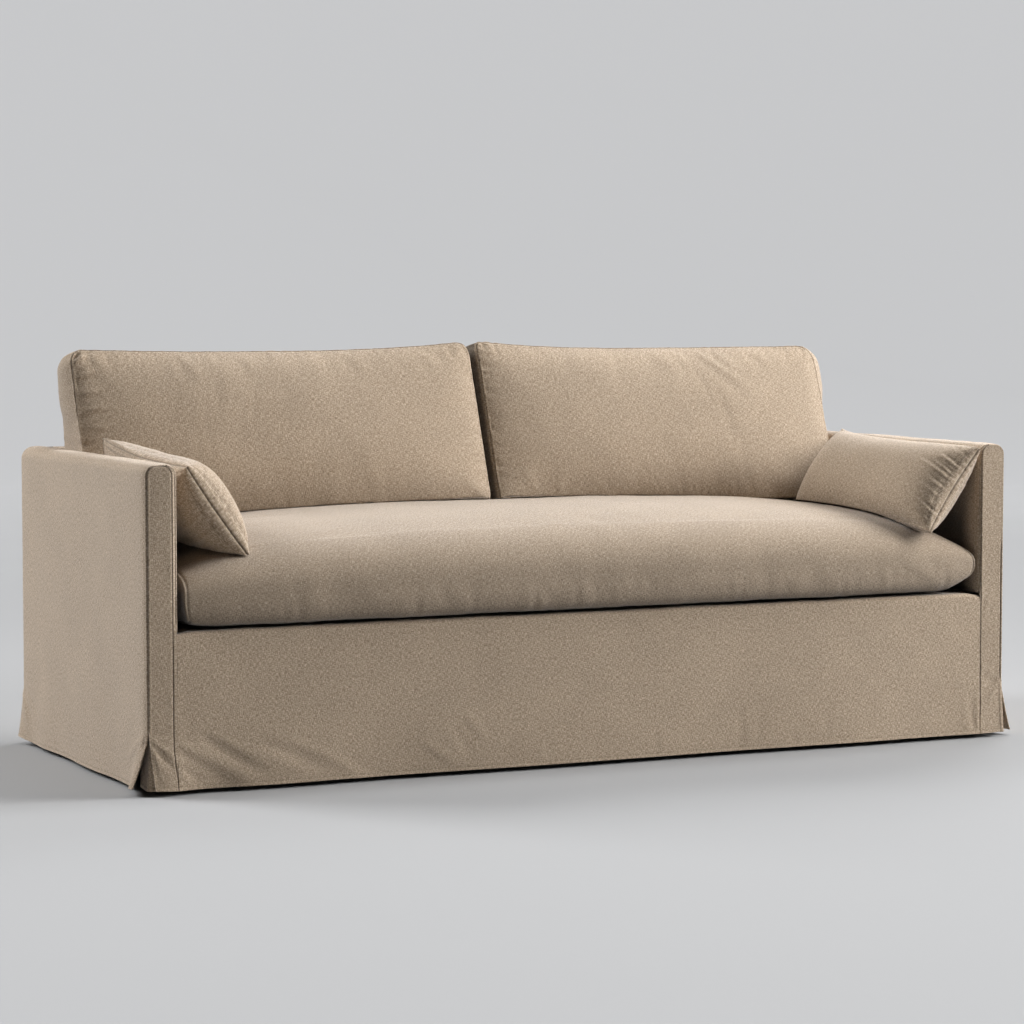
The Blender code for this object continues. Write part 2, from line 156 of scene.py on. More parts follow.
seamSteps = np.array([0, 0.0006, 0.0012, 0.0019, 0.0027, 0.0037, 0.0048, 0.0060, 0.0072, 0.0086,
                      0.0105, 0.0135, 0.0175, 0.0230, 0.0295, 0.0375])


def fromBothEnds(length, step):             # distances across a panel, fine at both seams
    middle = spread(seamSteps[-1], length - seamSteps[-1], step)
    return joinSteps(seamSteps, middle, length - seamSteps)


def surfaceNormals(points, turn):
    along = np.gradient(points, axis=1)
    up = np.gradient(points, axis=0)
    normal = np.cross(along, up) * turn
    return normal / np.maximum(np.linalg.norm(normal, axis=2, keepdims=True), 1e-12)


def runLength(points):                      # distance run along the first axis
    steps = np.linalg.norm(np.diff(points, axis=0), axis=1)
    return np.concatenate([[0], np.cumsum(steps)])


def gridQuads(index):
    corners = [index[:-1, :-1], index[1:, :-1], index[1:, 1:], index[:-1, 1:]]
    return np.stack(corners, -1).reshape(-1, 4)


def addObject(name, data):
    thing = bpy.data.objects.new(name, data)
    scene.collection.objects.link(thing)
    return thing


def addValues(mesh, key, values):
    layer = mesh.attributes.new(key, "FLOAT", "POINT")
    layer.data.foreach_set("value", np.asarray(values, np.float32).ravel())


def addPiece(name, points, quads, mapped):
    mesh = bpy.data.meshes.new(name)
    mesh.from_pydata(points.tolist(), [], quads.tolist())
    layer = mesh.uv_layers.new(name="clothMap")     # the cloth's own threads, in metres
    layer.data.foreach_set("uv", mapped.astype(np.float32).ravel())
    mesh.shade_smooth()
    return addObject(name, mesh)


def addShade(piece, shade):                 # painted light and shade: how much of its own colour the cloth keeps at each point
    addValues(piece.data, "shade", shade)


def makeSheet(name, points, relief, shade, turn, offset):   # rows of the panel's grid
    normals = surfaceNormals(points, turn)
    shaped = points + normals * relief[:, :, None]
    rows, columns = relief.shape
    quads = gridQuads(np.arange(rows * columns).reshape(rows, columns))[:, [0, 3, 2, 1]]
    if turn < 0:
        quads = quads[:, ::-1]
    across = runLength(points[rows // 2]) + offset
    up = runLength(points[:, columns // 2]) + offset * 1.7
    mapped = np.stack(np.meshgrid(across, up), -1).reshape(-1, 2)[quads.ravel()]
    piece = addPiece(name, shaped.reshape(-1, 3), quads, mapped)
    addShade(piece, np.broadcast_to(shade, relief.shape))
    thick = piece.modifiers.new("cloth", "SOLIDIFY")
    thick.thickness = cover["cloth"]
    thick.offset = -1
    return piece, shaped, normals


def settle(piece, node, material):
    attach(piece, "root")
    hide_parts(node)
    piece.data.materials.append(material)


# ---- Materials ----

def fromHex(text):                          # sRGB hex to Blender's linear colour
    values = [int(text[i:i + 2], 16) / 255 for i in (1, 3, 5)]
    linear = [v / 12.92 if v <= 0.04045 else ((v + 0.055) / 1.055) ** 2.4 for v in values]
    return (*linear, 1.0)


def addNode(tree, kind, settings=None, links=None, values=None):
    node = tree.nodes.new("ShaderNode" + kind)
    for key, value in (settings or {}).items():
        setattr(node, key, value)
    for key, value in (values or {}).items():
        node.inputs[key].default_value = value
    for key, source in (links or {}).items():
        tree.links.new(source, node.inputs[key])
    return node


def newMaterial(name, values):
    material = bpy.data.materials.new(name)
    material.use_nodes = True
    shader = material.node_tree.nodes["Principled BSDF"]
    for key, value in values.items():
        shader.inputs[key].default_value = value
    return material, material.node_tree, shader


linen = {
    "darkYarn": "#887560",
    "bodyYarn": "#ac9881",
    "lightYarn": "#d0bea8",
    "threadPitch": 0.0016,      # real threads lie 0.7 mm apart; drawn coarser so that they show
    "slubWidth": 0.0012,        # thick places in the yarns, drawn to go with the coarser threads
    "slubLength": 0.0070,
    "fleckSize": 0.0016,        # lint and knots, a little larger than real ones
    "fleckWeight": 0.36,
    "heatherRange": (0.90, 1.46),       # sum of the noises that turns from dark yarn to light
    "cloudSize": 0.13,          # uneven patches left by the wash
    "cloudTone": (0.955, 1.045),
    "roughness": 0.9,
    "ior": 1.47,
    "specular": 0.25,
    "sheen": 0.29,
    "sheenRoughness": 0.5,
    "sheenTint": "#f8faff",
    "weaveWeight": 0.16,        # how much of the relief is the weave itself
    "relief": 0.0006,
}


def stonewashedLinen(name):     # woven linen and cotton, garment washed: matt, heathered, soft fuzz
    material, tree, shader = newMaterial(name, {
        "Roughness": linen["roughness"], "IOR": linen["ior"], "Specular IOR Level": linen["specular"],
        "Sheen Weight": linen["sheen"], "Sheen Roughness": linen["sheenRoughness"],
        "Sheen Tint": fromHex(linen["sheenTint"]),
    })
    place = addNode(tree, "UVMap", {"uv_map": "clothMap"})

    def yarnNoise(across, up, detail, seedShift):   # noise stretched to a yarn's width and length
        stretch = addNode(tree, "Mapping", {"vector_type": "POINT"}, {"Vector": place.outputs["UV"]},
                          {"Scale": (1 / across, 1 / up, 1), "Location": (seedShift, seedShift, 0)})
        return addNode(tree, "TexNoise", {"noise_dimensions": "2D"}, {"Vector": stretch.outputs[0]},
                       {"Scale": 1.0, "Detail": detail, "Roughness": 0.6})

    warp = yarnNoise(linen["slubWidth"], linen["slubLength"], 2.0, 3.0)
    weft = yarnNoise(linen["slubLength"], linen["slubWidth"], 2.0, 11.0)
    flecks = yarnNoise(linen["fleckSize"], linen["fleckSize"], 3.0, 5.0)
    clouds = yarnNoise(linen["cloudSize"], linen["cloudSize"], 3.0, 1.0)
    yarns = addNode(tree, "Math", {"operation": "ADD"},
                    {0: warp.outputs[0], 1: weft.outputs[0]})
    heather = addNode(tree, "Math", {"operation": "MULTIPLY_ADD"},
                      {0: flecks.outputs[0], 2: yarns.outputs[0]}, {1: linen["fleckWeight"]})
    darkest, lightest = linen["heatherRange"]
    level = addNode(tree, "MapRange", {}, {"Value": heather.outputs[0]},
                    {"From Min": darkest, "From Max": lightest})
    colours = addNode(tree, "ValToRGB", {}, {"Fac": level.outputs[0]})
    ramp = colours.color_ramp
    ramp.elements[0].color = fromHex(linen["darkYarn"])
    ramp.elements[1].color = fromHex(linen["lightYarn"])
    ramp.elements.new(0.5).color = fromHex(linen["bodyYarn"])
    low, high = linen["cloudTone"]
    tone = addNode(tree, "MapRange", {}, {"Value": clouds.outputs[0]},
                   {"From Min": 0.25, "From Max": 0.75, "To Min": low, "To Max": high})
    washed = addNode(tree, "VectorMath", {"operation": "SCALE"},
                     {"Vector": colours.outputs["Color"], "Scale": tone.outputs[0]})
    # painted light and shade, read from the shade attribute and scaled into the cloth's colour
    seams = addNode(tree, "Attribute", {"attribute_name": "shade"})
    shaded = addNode(tree, "VectorMath", {"operation": "SCALE"},
                     {"Vector": washed.outputs["Vector"], "Scale": seams.outputs["Fac"]})
    tree.links.new(shaded.outputs["Vector"], shader.inputs["Base Color"])

    halfTurn = math.pi / linen["threadPitch"]
    threads = addNode(tree, "VectorMath", {"operation": "SCALE"}, {"Vector": place.outputs["UV"]},
                      {"Scale": halfTurn})
    waves = addNode(tree, "VectorMath", {"operation": "SINE"}, {"Vector": threads.outputs[0]})
    each = addNode(tree, "SeparateXYZ", {}, {"Vector": waves.outputs[0]})
    weave = addNode(tree, "Math", {"operation": "MULTIPLY"}, {0: each.outputs["X"], 1: each.outputs["Y"]})
    height = addNode(tree, "Math", {"operation": "MULTIPLY_ADD"},
                     {0: weave.outputs[0], 2: heather.outputs[0]}, {1: linen["weaveWeight"]})
    grain = addNode(tree, "Bump", {}, {"Height": height.outputs[0]},
                    {"Strength": 1.0, "Distance": linen["relief"]})
    tree.links.new(grain.outputs["Normal"], shader.inputs["Normal"])
    return material


thread = {
    "dark": "#a08b71",
    "light": "#c4b196",
    "roughness": 0.6,
    "twist": 1 / 900,           # metres from ply to ply
}


def spunThread(name):           # polyester sewing thread, matched to the cloth: smoother than it
    material, tree, shader = newMaterial(name, {"Roughness": thread["roughness"]})
    twist = addNode(tree, "TexNoise", {}, None, {"Scale": 1 / thread["twist"], "Detail": 1.0})
    shade = addNode(tree, "ValToRGB", {}, {"Fac": twist.outputs[0]})
    shade.color_ramp.elements[0].color = fromHex(thread["dark"])
    shade.color_ramp.elements[1].color = fromHex(thread["light"])
    tree.links.new(shade.outputs["Color"], shader.inputs["Base Color"])
    return material


linenCloth = stonewashedLinen("stonewashedLinen")
sewingThread = spunThread("spunThread")
print("materials made")


# ---- Stitches ----

stitched = {"points": [], "faces": []}


def sewLine(points, normals):               # a row of straight stitches along a line of points
    run = runLength(points)
    count = int(run[-1] / sewing["stitchStep"])
    centres = (np.arange(count) + 0.5) * sewing["stitchStep"]
    half = sewing["stitchLength"] / 2
    r = sewing["threadRadius"]

    def at(distance, values):
        return np.stack([np.interp(distance, run, values[:, k]) for k in range(3)], 1)

    middle = at(centres, points)
    tangent = at(centres + half, points) - at(centres - half, points)
    tangent /= np.maximum(np.linalg.norm(tangent, axis=1, keepdims=True), 1e-9)
    normal = at(centres, normals)
    side = np.cross(tangent, normal)
    middle = middle + normal * r * 0.4
    first = sum(len(group) for group in stitched["points"])
    corners = np.stack([middle - tangent * half, middle + side * r, middle + normal * r,
                        middle - side * r, middle - normal * r, middle + tangent * half], 1)
    stitched["points"].append(corners.reshape(-1, 3))
    for ring in ((1, 2), (2, 3), (3, 4), (4, 1)):
        for tip, order in ((0, 1), (5, -1)):
            face = np.array([tip, *ring[::order]])
            stitched["faces"].append(first + 6 * np.arange(len(middle))[:, None] + face)


def sewRow(shaped, normals, distances, wanted, axis):
    # stitches on the row (axis 0) or column (axis 1) of a panel that lies nearest to "wanted"
    line = int(np.argmin(np.abs(distances - wanted)))
    if axis == 0:
        sewLine(shaped[line], normals[line])
    else:
        sewLine(shaped[:, line], normals[:, line])


# ---- How the skirts hang ----

skirtFolds = {                  # (along, width, how far out at the hem, height where it dies away)
    "front": (
        (-0.965, 0.035, 0.007, 0.150),
        (-0.880, 0.060, -0.005, 0.210),
        (-0.740, 0.090, 0.006, 0.240),
        (-0.450, 0.120, -0.003, 0.200),
        (-0.100, 0.160, 0.004, 0.230),
        (0.300, 0.130, -0.003, 0.200),
        (0.650, 0.120, 0.004, 0.220),
        (0.950, 0.050, 0.005, 0.150),
    ),
    "side": (
        (-0.220, 0.070, -0.003, 0.200),
        (-0.060, 0.090, 0.004, 0.260),
        (0.120, 0.070, -0.002, 0.180),
        (0.250, 0.060, 0.004, 0.200),
    ),
    "back": (
        (-0.700, 0.120, 0.005, 0.220),
        (-0.300, 0.150, -0.003, 0.200),
        (0.150, 0.160, 0.005, 0.240),
        (0.620, 0.130, -0.003, 0.200),
    ),
}
corners = {                     # (side, end): how the free corners stand at the hem
    (-1, -1): {"out": 0.027, "draw": 0.022, "lift": 0.005, "panelIn": 0.011, "panelOut": 0.006},
    (1, -1): {"out": 0.033, "draw": 0.010, "lift": 0.002, "panelIn": -0.004, "panelOut": 0.004},
    (-1, 1): {"out": 0.017, "draw": 0.010, "lift": 0.008, "panelIn": 0.010, "panelOut": 0.006},
    (1, 1): {"out": 0.018, "draw": 0.012, "lift": 0.004, "panelIn": 0.008, "panelOut": 0.005},
}
hemSteps = cover["hem"] + np.array([0, 0.0012, 0.0030, 0.0048, 0.0062, 0.0072, 0.0082, 0.0094, 0.0112,
                                    0.0140, 0.0185])


def slitOpening(height):
    return np.clip((cover["slit"] - height) / (cover["slit"] - cover["hem"]), 0, 1) ** 1.25


def skirtDepth(folds, along, height):
    depth = np.zeros(np.broadcast(along, height).shape)
    for place, width, out, reach in folds:
        fall = np.clip(1 - (height - cover["hem"]) / reach, 0, 1)
        depth += out * fall ** 1.5 * bump(along - place, width)
    return depth


def sewnAbove(height):          # 1 where a corner's seam is sewn, 0 down its slit
    return smoothStep((height - cover["slit"] + 0.003) / 0.008)


def freeShade(d):               # a turned free edge, with a painted highlight along it
    return hemShade(d) + 0.10 * bump(d, 0.0020)


def edgeRelief(d, height):      # a sewn edge above the slit, a turned free edge below it
    sewn = sewnAbove(height)
    return 0.6 * sewn * seamRelief(d) + (1 - sewn) * hemRelief(d)


def sewnShade(d, height):
    sewn = sewnAbove(height)
    return sewn * seamShade(d) + (1 - sewn) * freeShade(d)


def topInset(heights, radius):  # how far a panel draws in where its top corners are rounded
    rise = np.clip(heights - (cover["armHeight"] - radius), 0, radius)
    return radius - np.sqrt(radius ** 2 - rise ** 2)


def roundedEdge(radius, aside, fromTop, straight):      # distance from a panel's edge, round its corners
    aside, above = np.clip(radius - aside, 0, radius), np.clip(radius - fromTop, 0, radius)
    return np.where((aside > 0) & (above > 0), radius - np.hypot(aside, above), straight)


# ---- Arms: one cloth over each ----

armCloth = {
    "columnStep": 0.0095,
    "rowStep": 0.010,
    # painted light: the whole cloth drawn a little lighter
    "shade": 1.05,
    "insidePaintedShade": 0.68,          # painted shade: how much darker the inside is, down beside the cushions
    "drape": ((0.0011, 0.13, 0.05), (0.0004, 0.035, 0.02)),
    "puckers": (0.0006, 0.016, 0.012),      # height, spacing and reach
    "creases": {                # (y, height) on the outside panel
        -1: (
            (-0.424, 0.124, -0.290, 0.050, 0.010, 0.0026),
            (-0.420, 0.118, -0.350, 0.030, 0.007, 0.0018),
            (-0.422, 0.132, -0.330, 0.118, 0.006, 0.0010),
            (-0.150, 0.006, -0.146, 0.085, 0.0045, 0.0016),
            (0.034, 0.006, 0.036, 0.078, 0.0045, 0.0018),
            (0.105, 0.006, 0.112, 0.066, 0.0045, 0.0018),
            (0.190, 0.006, 0.196, 0.052, 0.0050, 0.0012),
            (-0.235, 0.006, -0.240, 0.060, 0.0060, 0.0012),
            (0.420, 0.120, 0.352, 0.030, 0.010, 0.0030),
            (0.418, 0.128, 0.300, 0.060, 0.008, 0.0014),
        ),
        1: (
            (-0.424, 0.124, -0.310, 0.045, 0.010, 0.0024),
            (-0.420, 0.128, -0.330, 0.090, 0.007, 0.0012),
            (-0.100, 0.006, -0.094, 0.080, 0.0050, 0.0016),
            (0.070, 0.006, 0.066, 0.070, 0.0045, 0.0016),
            (0.170, 0.006, 0.176, 0.060, 0.0050, 0.0014),
            (0.420, 0.122, 0.330, 0.040, 0.010, 0.0024),
        ),
    },
}


def makeArmCover(word, side):
    length = cover["depth"] - 2 * (cover["cloth"] + cover["gap"])
    along = fromBothEnds(length, armCloth["columnStep"])
    edge = np.minimum(along, length - along)
    swell = cover["swell"] * (1 - np.exp(-edge / 0.010))
    radius = np.interp(along, [0, length], [cover["armFrontRadius"], cover["armBackRadius"]])
    outer, inner = outerX + swell, innerX - swell
    top = cover["armHeight"] + swell / 2
    wallHeights = joinSteps(hemSteps, spread(hemSteps[-1], 0.135, 0.0065),
                            spread(0.135, 0.620, armCloth["rowStep"]))
    turns = np.radians(spread(0, 90, 9))[:, None]
    parts = [
        (outer + 0 * wallHeights[:, None], wallHeights[:, None] + 0 * outer),
        (outer - radius * (1 - np.cos(turns)), top - radius * (1 - np.sin(turns))),
        (outer - radius + (inner - outer + 2 * radius) * np.array([[0.35], [0.65]]),
         top + 0.0006 + 0 * np.array([[0.35], [0.65]])),
        (inner + radius * (1 - np.cos(turns[::-1])), top - radius * (1 - np.sin(turns[::-1]))),
    ]
    insideHeights = spread(0.620, cover["deckHeight"] + cover["gap"], 0.013)[:, None]
    parts.append((inner + 0 * insideHeights, insideHeights + 0 * inner))
    x = np.concatenate([part[0] for part in parts])
    height = np.concatenate([part[1] for part in parts])
    y = frontY + cover["cloth"] + cover["gap"] + along + 0 * x
    outside = (np.arange(len(x)) < len(wallHeights))[:, None]
    within = (np.arange(len(x)) >= len(x) - len(insideHeights))[:, None]
    h = np.where(outside, height, 1.0)

    opening = slitOpening(h)
    near = bump(edge, cover["flareWidth"])
    isFront = along < length / 2
    frontRow, backRow = corners[side, -1], corners[side, 1]

    def atEnds(key):
        return np.where(isFront, frontRow[key], backRow[key]) * near

    x = x + atEnds("out") * opening + np.where(outside, skirtDepth(skirtFolds["side"], y, h), 0)
    end = np.where(isFront, -1, 1)
    y = y - end * atEnds("draw") * opening
    height = height + atEnds("lift") * opening
    points = np.stack([side * x, y, floorZ + height], 2)

    relief = edgeRelief(edge[None, :], np.where(outside, h, 1.0))
    relief = relief + np.where(outside, hemRelief(h - cover["hem"]), 0)
    relief = relief + np.where(outside, creases(y, h, armCloth["creases"][side]), 0)
    shade = armCloth["shade"] * sewnShade(edge[None, :], np.where(outside, h, 1.0))
    shade = shade * np.where(outside, hemShade(h - cover["hem"]), 1)
    low = (cover["armHeight"] - 0.06 - height) / 0.12       # down beside the cushions
    # painted shade on the inside, darker down beside the cushions
    paintedShading = armCloth["insidePaintedShade"] * smoothStep(low) * smoothStep((edge - 0.02) / 0.05)
    shade = shade * np.where(within, 1 - paintedShading, 1)
    grain = 40 * (side + 2)
    relief = relief + drape(y, height, edge, armCloth["drape"], grain)
    crest = np.exp(-np.abs(height - top) / 0.03)
    relief = relief + 0.0006 * crest * softNoise(y, 0 * y, 0.05, grain + 2) * smoothStep(edge / 0.03)
    relief = relief + puckers(height, edge + 0 * height, armCloth["puckers"], grain + 3)
    piece, shaped, normals = makeSheet("armCover_" + word, points, relief, shade, side, 0.31 * (side + 2))
    settle(piece, "arm_cover_" + word, linenCloth)

    sewRow(shaped, normals, height[:, len(along) // 2] - cover["hem"], sewing["hemBand"], 0)
    for distances in (along, length - along):       # topstitching beside the front and the back seam
        sewRow(shaped, normals, distances, sewing["hemBand"], 1)


# ---- Arms: the narrow front panels ----

armFront = {
    "outerSeam": {-1: 0, 1: 0.0045},    # how far in from its edge each strip's outer seam lies
    "innerSeam": {-1: 0.0085, 1: 0.0030},
    "wrapSink": 0.0045,         # the strip lies lower where the inside cloth wraps round it
    # painted light: the whole strip drawn a little lighter
    "shade": 1.05,
    "drape": ((0.0006, 0.06, 0.02),),
    "puckers": (0.0006, 0.014, 0.010),
    "creases": {                # (x, height)
        -1: (
            (-1.012, 0.127, -0.962, 0.124, 0.0045, -0.0014),
            (-1.012, 0.116, -0.950, 0.066, 0.0060, 0.0024),
            (-1.000, 0.092, -0.955, 0.042, 0.0070, -0.0020),
            (-1.010, 0.108, -0.985, 0.020, 0.0080, 0.0016),
        ),
        1: (
            (0.957, 0.324, 1.006, 0.297, 0.0045, 0.0018),
            (0.958, 0.310, 1.002, 0.286, 0.0040, 0.0013),
            (0.958, 0.297, 0.990, 0.276, 0.0040, 0.0010),
            (0.958, 0.160, 1.010, 0.130, 0.0060, 0.0018),
            (1.010, 0.124, 0.972, 0.080, 0.0100, 0.0020),
        ),
    },
}


def makeArmFront(word, side):
    corner = corners[side, -1]
    radius = cover["armFrontRadius"]
    across = fromBothEnds(cover["armWidth"] - cover["gap"], 0.006)
    across = joinSteps(across, spread(0, armFront["innerSeam"][side] + 0.002, 0.0007))
    share = across / across[-1]
    turns = np.radians(spread(0, 90, 7.5))
    heights = joinSteps(hemSteps, spread(hemSteps[-1], 0.135, 0.0055), spread(0.135, 0.600, 0.011),
                        spread(0.600, cover["armHeight"] - radius, 0.007),
                        cover["armHeight"] - radius * (1 - np.sin(turns)))[:, None]
    inset = topInset(heights, radius)
    opening = slitOpening(heights)
    innerEdge = innerX + cover["gap"] + inset
    outerEdge = outerX - inset - corner["panelIn"] * opening
    x = side * (innerEdge + (outerEdge - innerEdge) * share)
    stand = corner["panelOut"] * opening * share + skirtDepth(skirtFolds["front"], x, heights)
    height = heights + corner["lift"] * 0.6 * opening * share
    points = np.stack([x, frontY - stand, floorZ + height], 2)

    fromOuter = (outerEdge - innerEdge) * (1 - share)
    fromInner = (outerEdge - innerEdge) * share
    fromTop = cover["armHeight"] - heights + 0 * share
    edge = roundedEdge(radius, np.minimum(fromOuter + inset, fromInner + inset), fromTop,
                       np.minimum(np.minimum(fromOuter, fromInner), fromTop))
    sewn = sewnAbove(heights)
    sewnEdge = np.where(sewn > 0.5, edge, np.minimum(fromInner, fromTop))
    sewnEdge = np.where(np.minimum(fromOuter, fromTop) > fromInner, 0.2, sewnEdge)
    sewnEdge = np.abs(sewnEdge - armFront["outerSeam"][side] * sewn)
    # the inside cloth wraps round the edge as far as this seam, which runs out at the hem
    wrapSeam = armFront["innerSeam"][side] * (0.01 + smoothStep((heights - cover["hem"]) / 0.085))
    wrapped = -armFront["wrapSink"] * (1 - smoothStep(fromInner / wrapSeam)) * smoothStep(fromTop / 0.02)
    wrapped = wrapped * smoothStep((heights - cover["deckHeight"]) / 0.012)
    # the right strip's outer seam is pulled smooth above the seat
    firm = np.where(side > 0, 0.15 + 0.85 * smoothStep((0.47 - heights) / 0.06), 1)
    relief = wrapped + 0.6 * firm * seamRelief(sewnEdge, 0.4)
    relief = relief + 0.4 * seamRelief(np.abs(fromInner - wrapSeam), 0.3)
    relief = relief + (1 - sewn) * hemRelief(fromOuter) + hemRelief(heights - cover["hem"])
    relief = relief + creases(x, heights, armFront["creases"][side])
    shade = 1 - firm * (1 - seamShade(sewnEdge, 0.4))
    shade = shade * seamShade(np.abs(fromInner - wrapSeam), 0.0)
    shade = shade * (sewn + (1 - sewn) * freeShade(fromOuter)) * hemShade(heights - cover["hem"])
    shade = armFront["shade"] * shade
    seed = 200 + 10 * side
    relief = relief + drape(x, heights, edge, armFront["drape"], seed)
    relief = relief + puckers(heights, edge, armFront["puckers"], seed + 1)
    piece, shaped, normals = makeSheet("armFront_" + word, points, relief, shade, side, 0.77 * (side + 2))
    settle(piece, "arm_front_" + word, linenCloth)
    sewRow(shaped, normals, heights[:, 0] - cover["hem"], sewing["hemBand"], 0)
    low = int(np.argmin(np.abs(heights[:, 0] - cover["slit"])))
    column = int(np.argmin(np.abs(across[-1] - across - sewing["hemBand"])))
    sewLine(shaped[:low, column], normals[:low, column])


# ---- Front skirt ----

frontSkirt = {
    "edgeRadius": 0.010,
    "turn": 0.028,              # how far the top runs in over the rail
    # painted shade: how much darker the turn over the rail is, under the seat cushion
    "turnPaintedShade": 0.45,
    # painted light: the whole skirt drawn lighter
    "shade": 1.15,
    "drape": ((0.0010, 0.14, 0.05), (0.0004, 0.04, None)),
    "creases": (                # (x, height): drape folds that run down from the left corner
        (-0.952, 0.104, -0.790, 0.014, 0.012, 0.0023),
        (-0.915, 0.122, -0.752, 0.028, 0.013, -0.0020),
        (-0.885, 0.120, -0.725, 0.028, 0.012, 0.0015),
        (-0.944, 0.052, -0.900, 0.022, 0.009, -0.0018),
        (-0.780, 0.098, -0.615, 0.026, 0.014, -0.0015),
        (-0.720, 0.100, -0.560, 0.026, 0.013, 0.0011),
        (-0.610, 0.064, -0.520, 0.018, 0.011, -0.0010),
        (-0.420, 0.076, -0.330, 0.018, 0.010, 0.0012),
        (-0.350, 0.104, -0.300, 0.022, 0.010, -0.0011),
        (-0.325, 0.132, -0.262, 0.056, 0.011, 0.0010),
        (-0.140, 0.010, -0.150, 0.070, 0.010, 0.0007),
        (0.136, 0.012, 0.120, 0.085, 0.009, -0.0009),
        (0.341, 0.012, 0.334, 0.135, 0.009, -0.0009),
        (0.365, 0.012, 0.372, 0.110, 0.010, 0.0007),
        (0.475, 0.008, 0.468, 0.050, 0.008, -0.0010),
        (0.551, 0.020, 0.560, 0.100, 0.008, -0.0008),
        (0.940, 0.016, 0.930, 0.120, 0.010, -0.0014),
    ),
}


def makeFrontSkirt():
    radius = frontSkirt["edgeRadius"]
    half = innerX + cover["gap"] - 0.0002
    along = fromBothEnds(2 * half, 0.0085)
    wall = joinSteps(hemSteps, spread(hemSteps[-1], 0.150, 0.0065), spread(0.150, 0.310, 0.010))
    turns = np.radians(spread(0, 90, 10))
    inward = np.concatenate([0 * wall, radius * (1 - np.cos(turns)), [0.016, frontSkirt["turn"]]])
    arc = cover["deckHeight"] - radius * (1 - np.sin(turns))
    height = np.concatenate([wall, arc, [cover["deckHeight"]] * 2])
    inward, height = inward[:, None], height[:, None]
    x = along - half + 0 * height
    edge = np.minimum(along, 2 * half - along)
    corner = 0.012 * bump(edge, 0.020) * smoothStep((height - 0.30) / 0.03)    # rounded end of the rail
    stand = np.where(inward == 0, skirtDepth(skirtFolds["front"], x, height), 0)
    points = np.stack([x, frontY - stand + inward, floorZ + height - 0.4 * corner], 2)
    relief = hemRelief(height - cover["hem"]) + 0 * x
    relief = relief + np.where(inward == 0, creases(x, height, frontSkirt["creases"]), 0)
    relief = relief + drape(x, height, edge, frontSkirt["drape"], 301)
    shade = frontSkirt["shade"] * hemShade(height - cover["hem"])
    shade = shade * (1 - frontSkirt["turnPaintedShade"] * smoothStep((inward - 0.004) / 0.010))
    crest = np.exp(-(cover["deckHeight"] - height) / 0.035)
    relief = relief + 0.0007 * crest * softNoise(x, 0 * x, 0.06, 303)
    piece, shaped, normals = makeSheet("frontSkirt", points, relief, shade, 1, 2.9)
    settle(piece, "front_skirt", linenCloth)
    sewRow(shaped, normals, height[:, 0] - cover["hem"], sewing["hemBand"], 0)


# ---- Inside: seat deck and inside back ----

inside = {
    "backFoot": backY - 0.085,
    "backTop": backY - 0.062,
    "railRadius": 0.018,
    # painted shade: the deck drawn dark, as it lies in shadow under the seat cushion
    "deckShade": 0.38,
}


def makeSeatDeck():
    half = innerX - cover["gap"]
    across = spread(-half, half, 0.04)
    back = spread(frontY + frontSkirt["turn"] + cover["gap"], inside["backFoot"] + cover["cloth"], 0.04)
    x, y = np.meshgrid(across, back)
    relief = 0.0002 * softNoise(x, y, 0.15, 310) - 0.0002
    points = np.stack([x, y, 0 * x + cover["cloth"]], 2)
    piece, _, _ = makeSheet("seatDeck", points, relief, inside["deckShade"], 1, 4.3)
    settle(piece, "seat_deck", linenCloth)


def makeInsideBack():
    radius = inside["railRadius"]
    half = armFaceX - cover["gap"]
    turns = np.radians(spread(0, 90, 10))
    y = np.concatenate([[backY - cover["cloth"] - cover["gap"], backY - 0.012, backY - 0.030],
                        inside["backTop"] + radius * (1 - np.sin(turns))])
    height = np.concatenate([[cover["armHeight"]] * 3,
                             cover["armHeight"] - radius * (1 - np.cos(turns))])
    low = spread(0.62, cover["deckHeight"] + cover["gap"], 0.02)
    fall = (cover["armHeight"] - radius - low) / (cover["armHeight"] - radius - low[-1])
    y = np.concatenate([y, inside["backTop"] + (inside["backFoot"] - inside["backTop"]) * fall])
    height = np.concatenate([height, low])
    across = fromBothEnds(2 * half, 0.016) - half
    x, y = np.meshgrid(across, y)
    height = height[:, None] + 0 * x
    edge = np.minimum(half - np.abs(x), backY - cover["cloth"] - cover["gap"] - y)
    relief = seamRelief(edge, 0.6) + 0.0008 * softNoise(x, height + y, 0.12, 320) * smoothStep(edge / 0.03)
    points = np.stack([x, y, floorZ + height], 2)
    piece, _, _ = makeSheet("insideBack", points, relief, seamShade(edge, 0.6), -1, 5.1)
    settle(piece, "inside_back", linenCloth)


# ---- Outside back ----

outsideBack = {
    "drape": ((0.0014, 0.16, 0.05), (0.0004, 0.045, None)),
    "puckers": (0.0008, 0.020, 0.020),
    "creases": (                # (x, height)
        (-0.985, 0.124, -0.850, 0.040, 0.011, 0.0028),
        (-0.980, 0.112, -0.900, 0.020, 0.008, -0.0018),
        (0.985, 0.124, 0.870, 0.040, 0.011, 0.0026),
        (0.980, 0.112, 0.910, 0.020, 0.008, -0.0016),
        (-0.560, 0.012, -0.540, 0.110, 0.011, 0.0016),
        (-0.120, 0.012, -0.130, 0.090, 0.010, -0.0014),
        (0.060, 0.012, 0.075, 0.120, 0.012, 0.0016),
        (0.420, 0.012, 0.410, 0.090, 0.010, 0.0014),
    ),
}


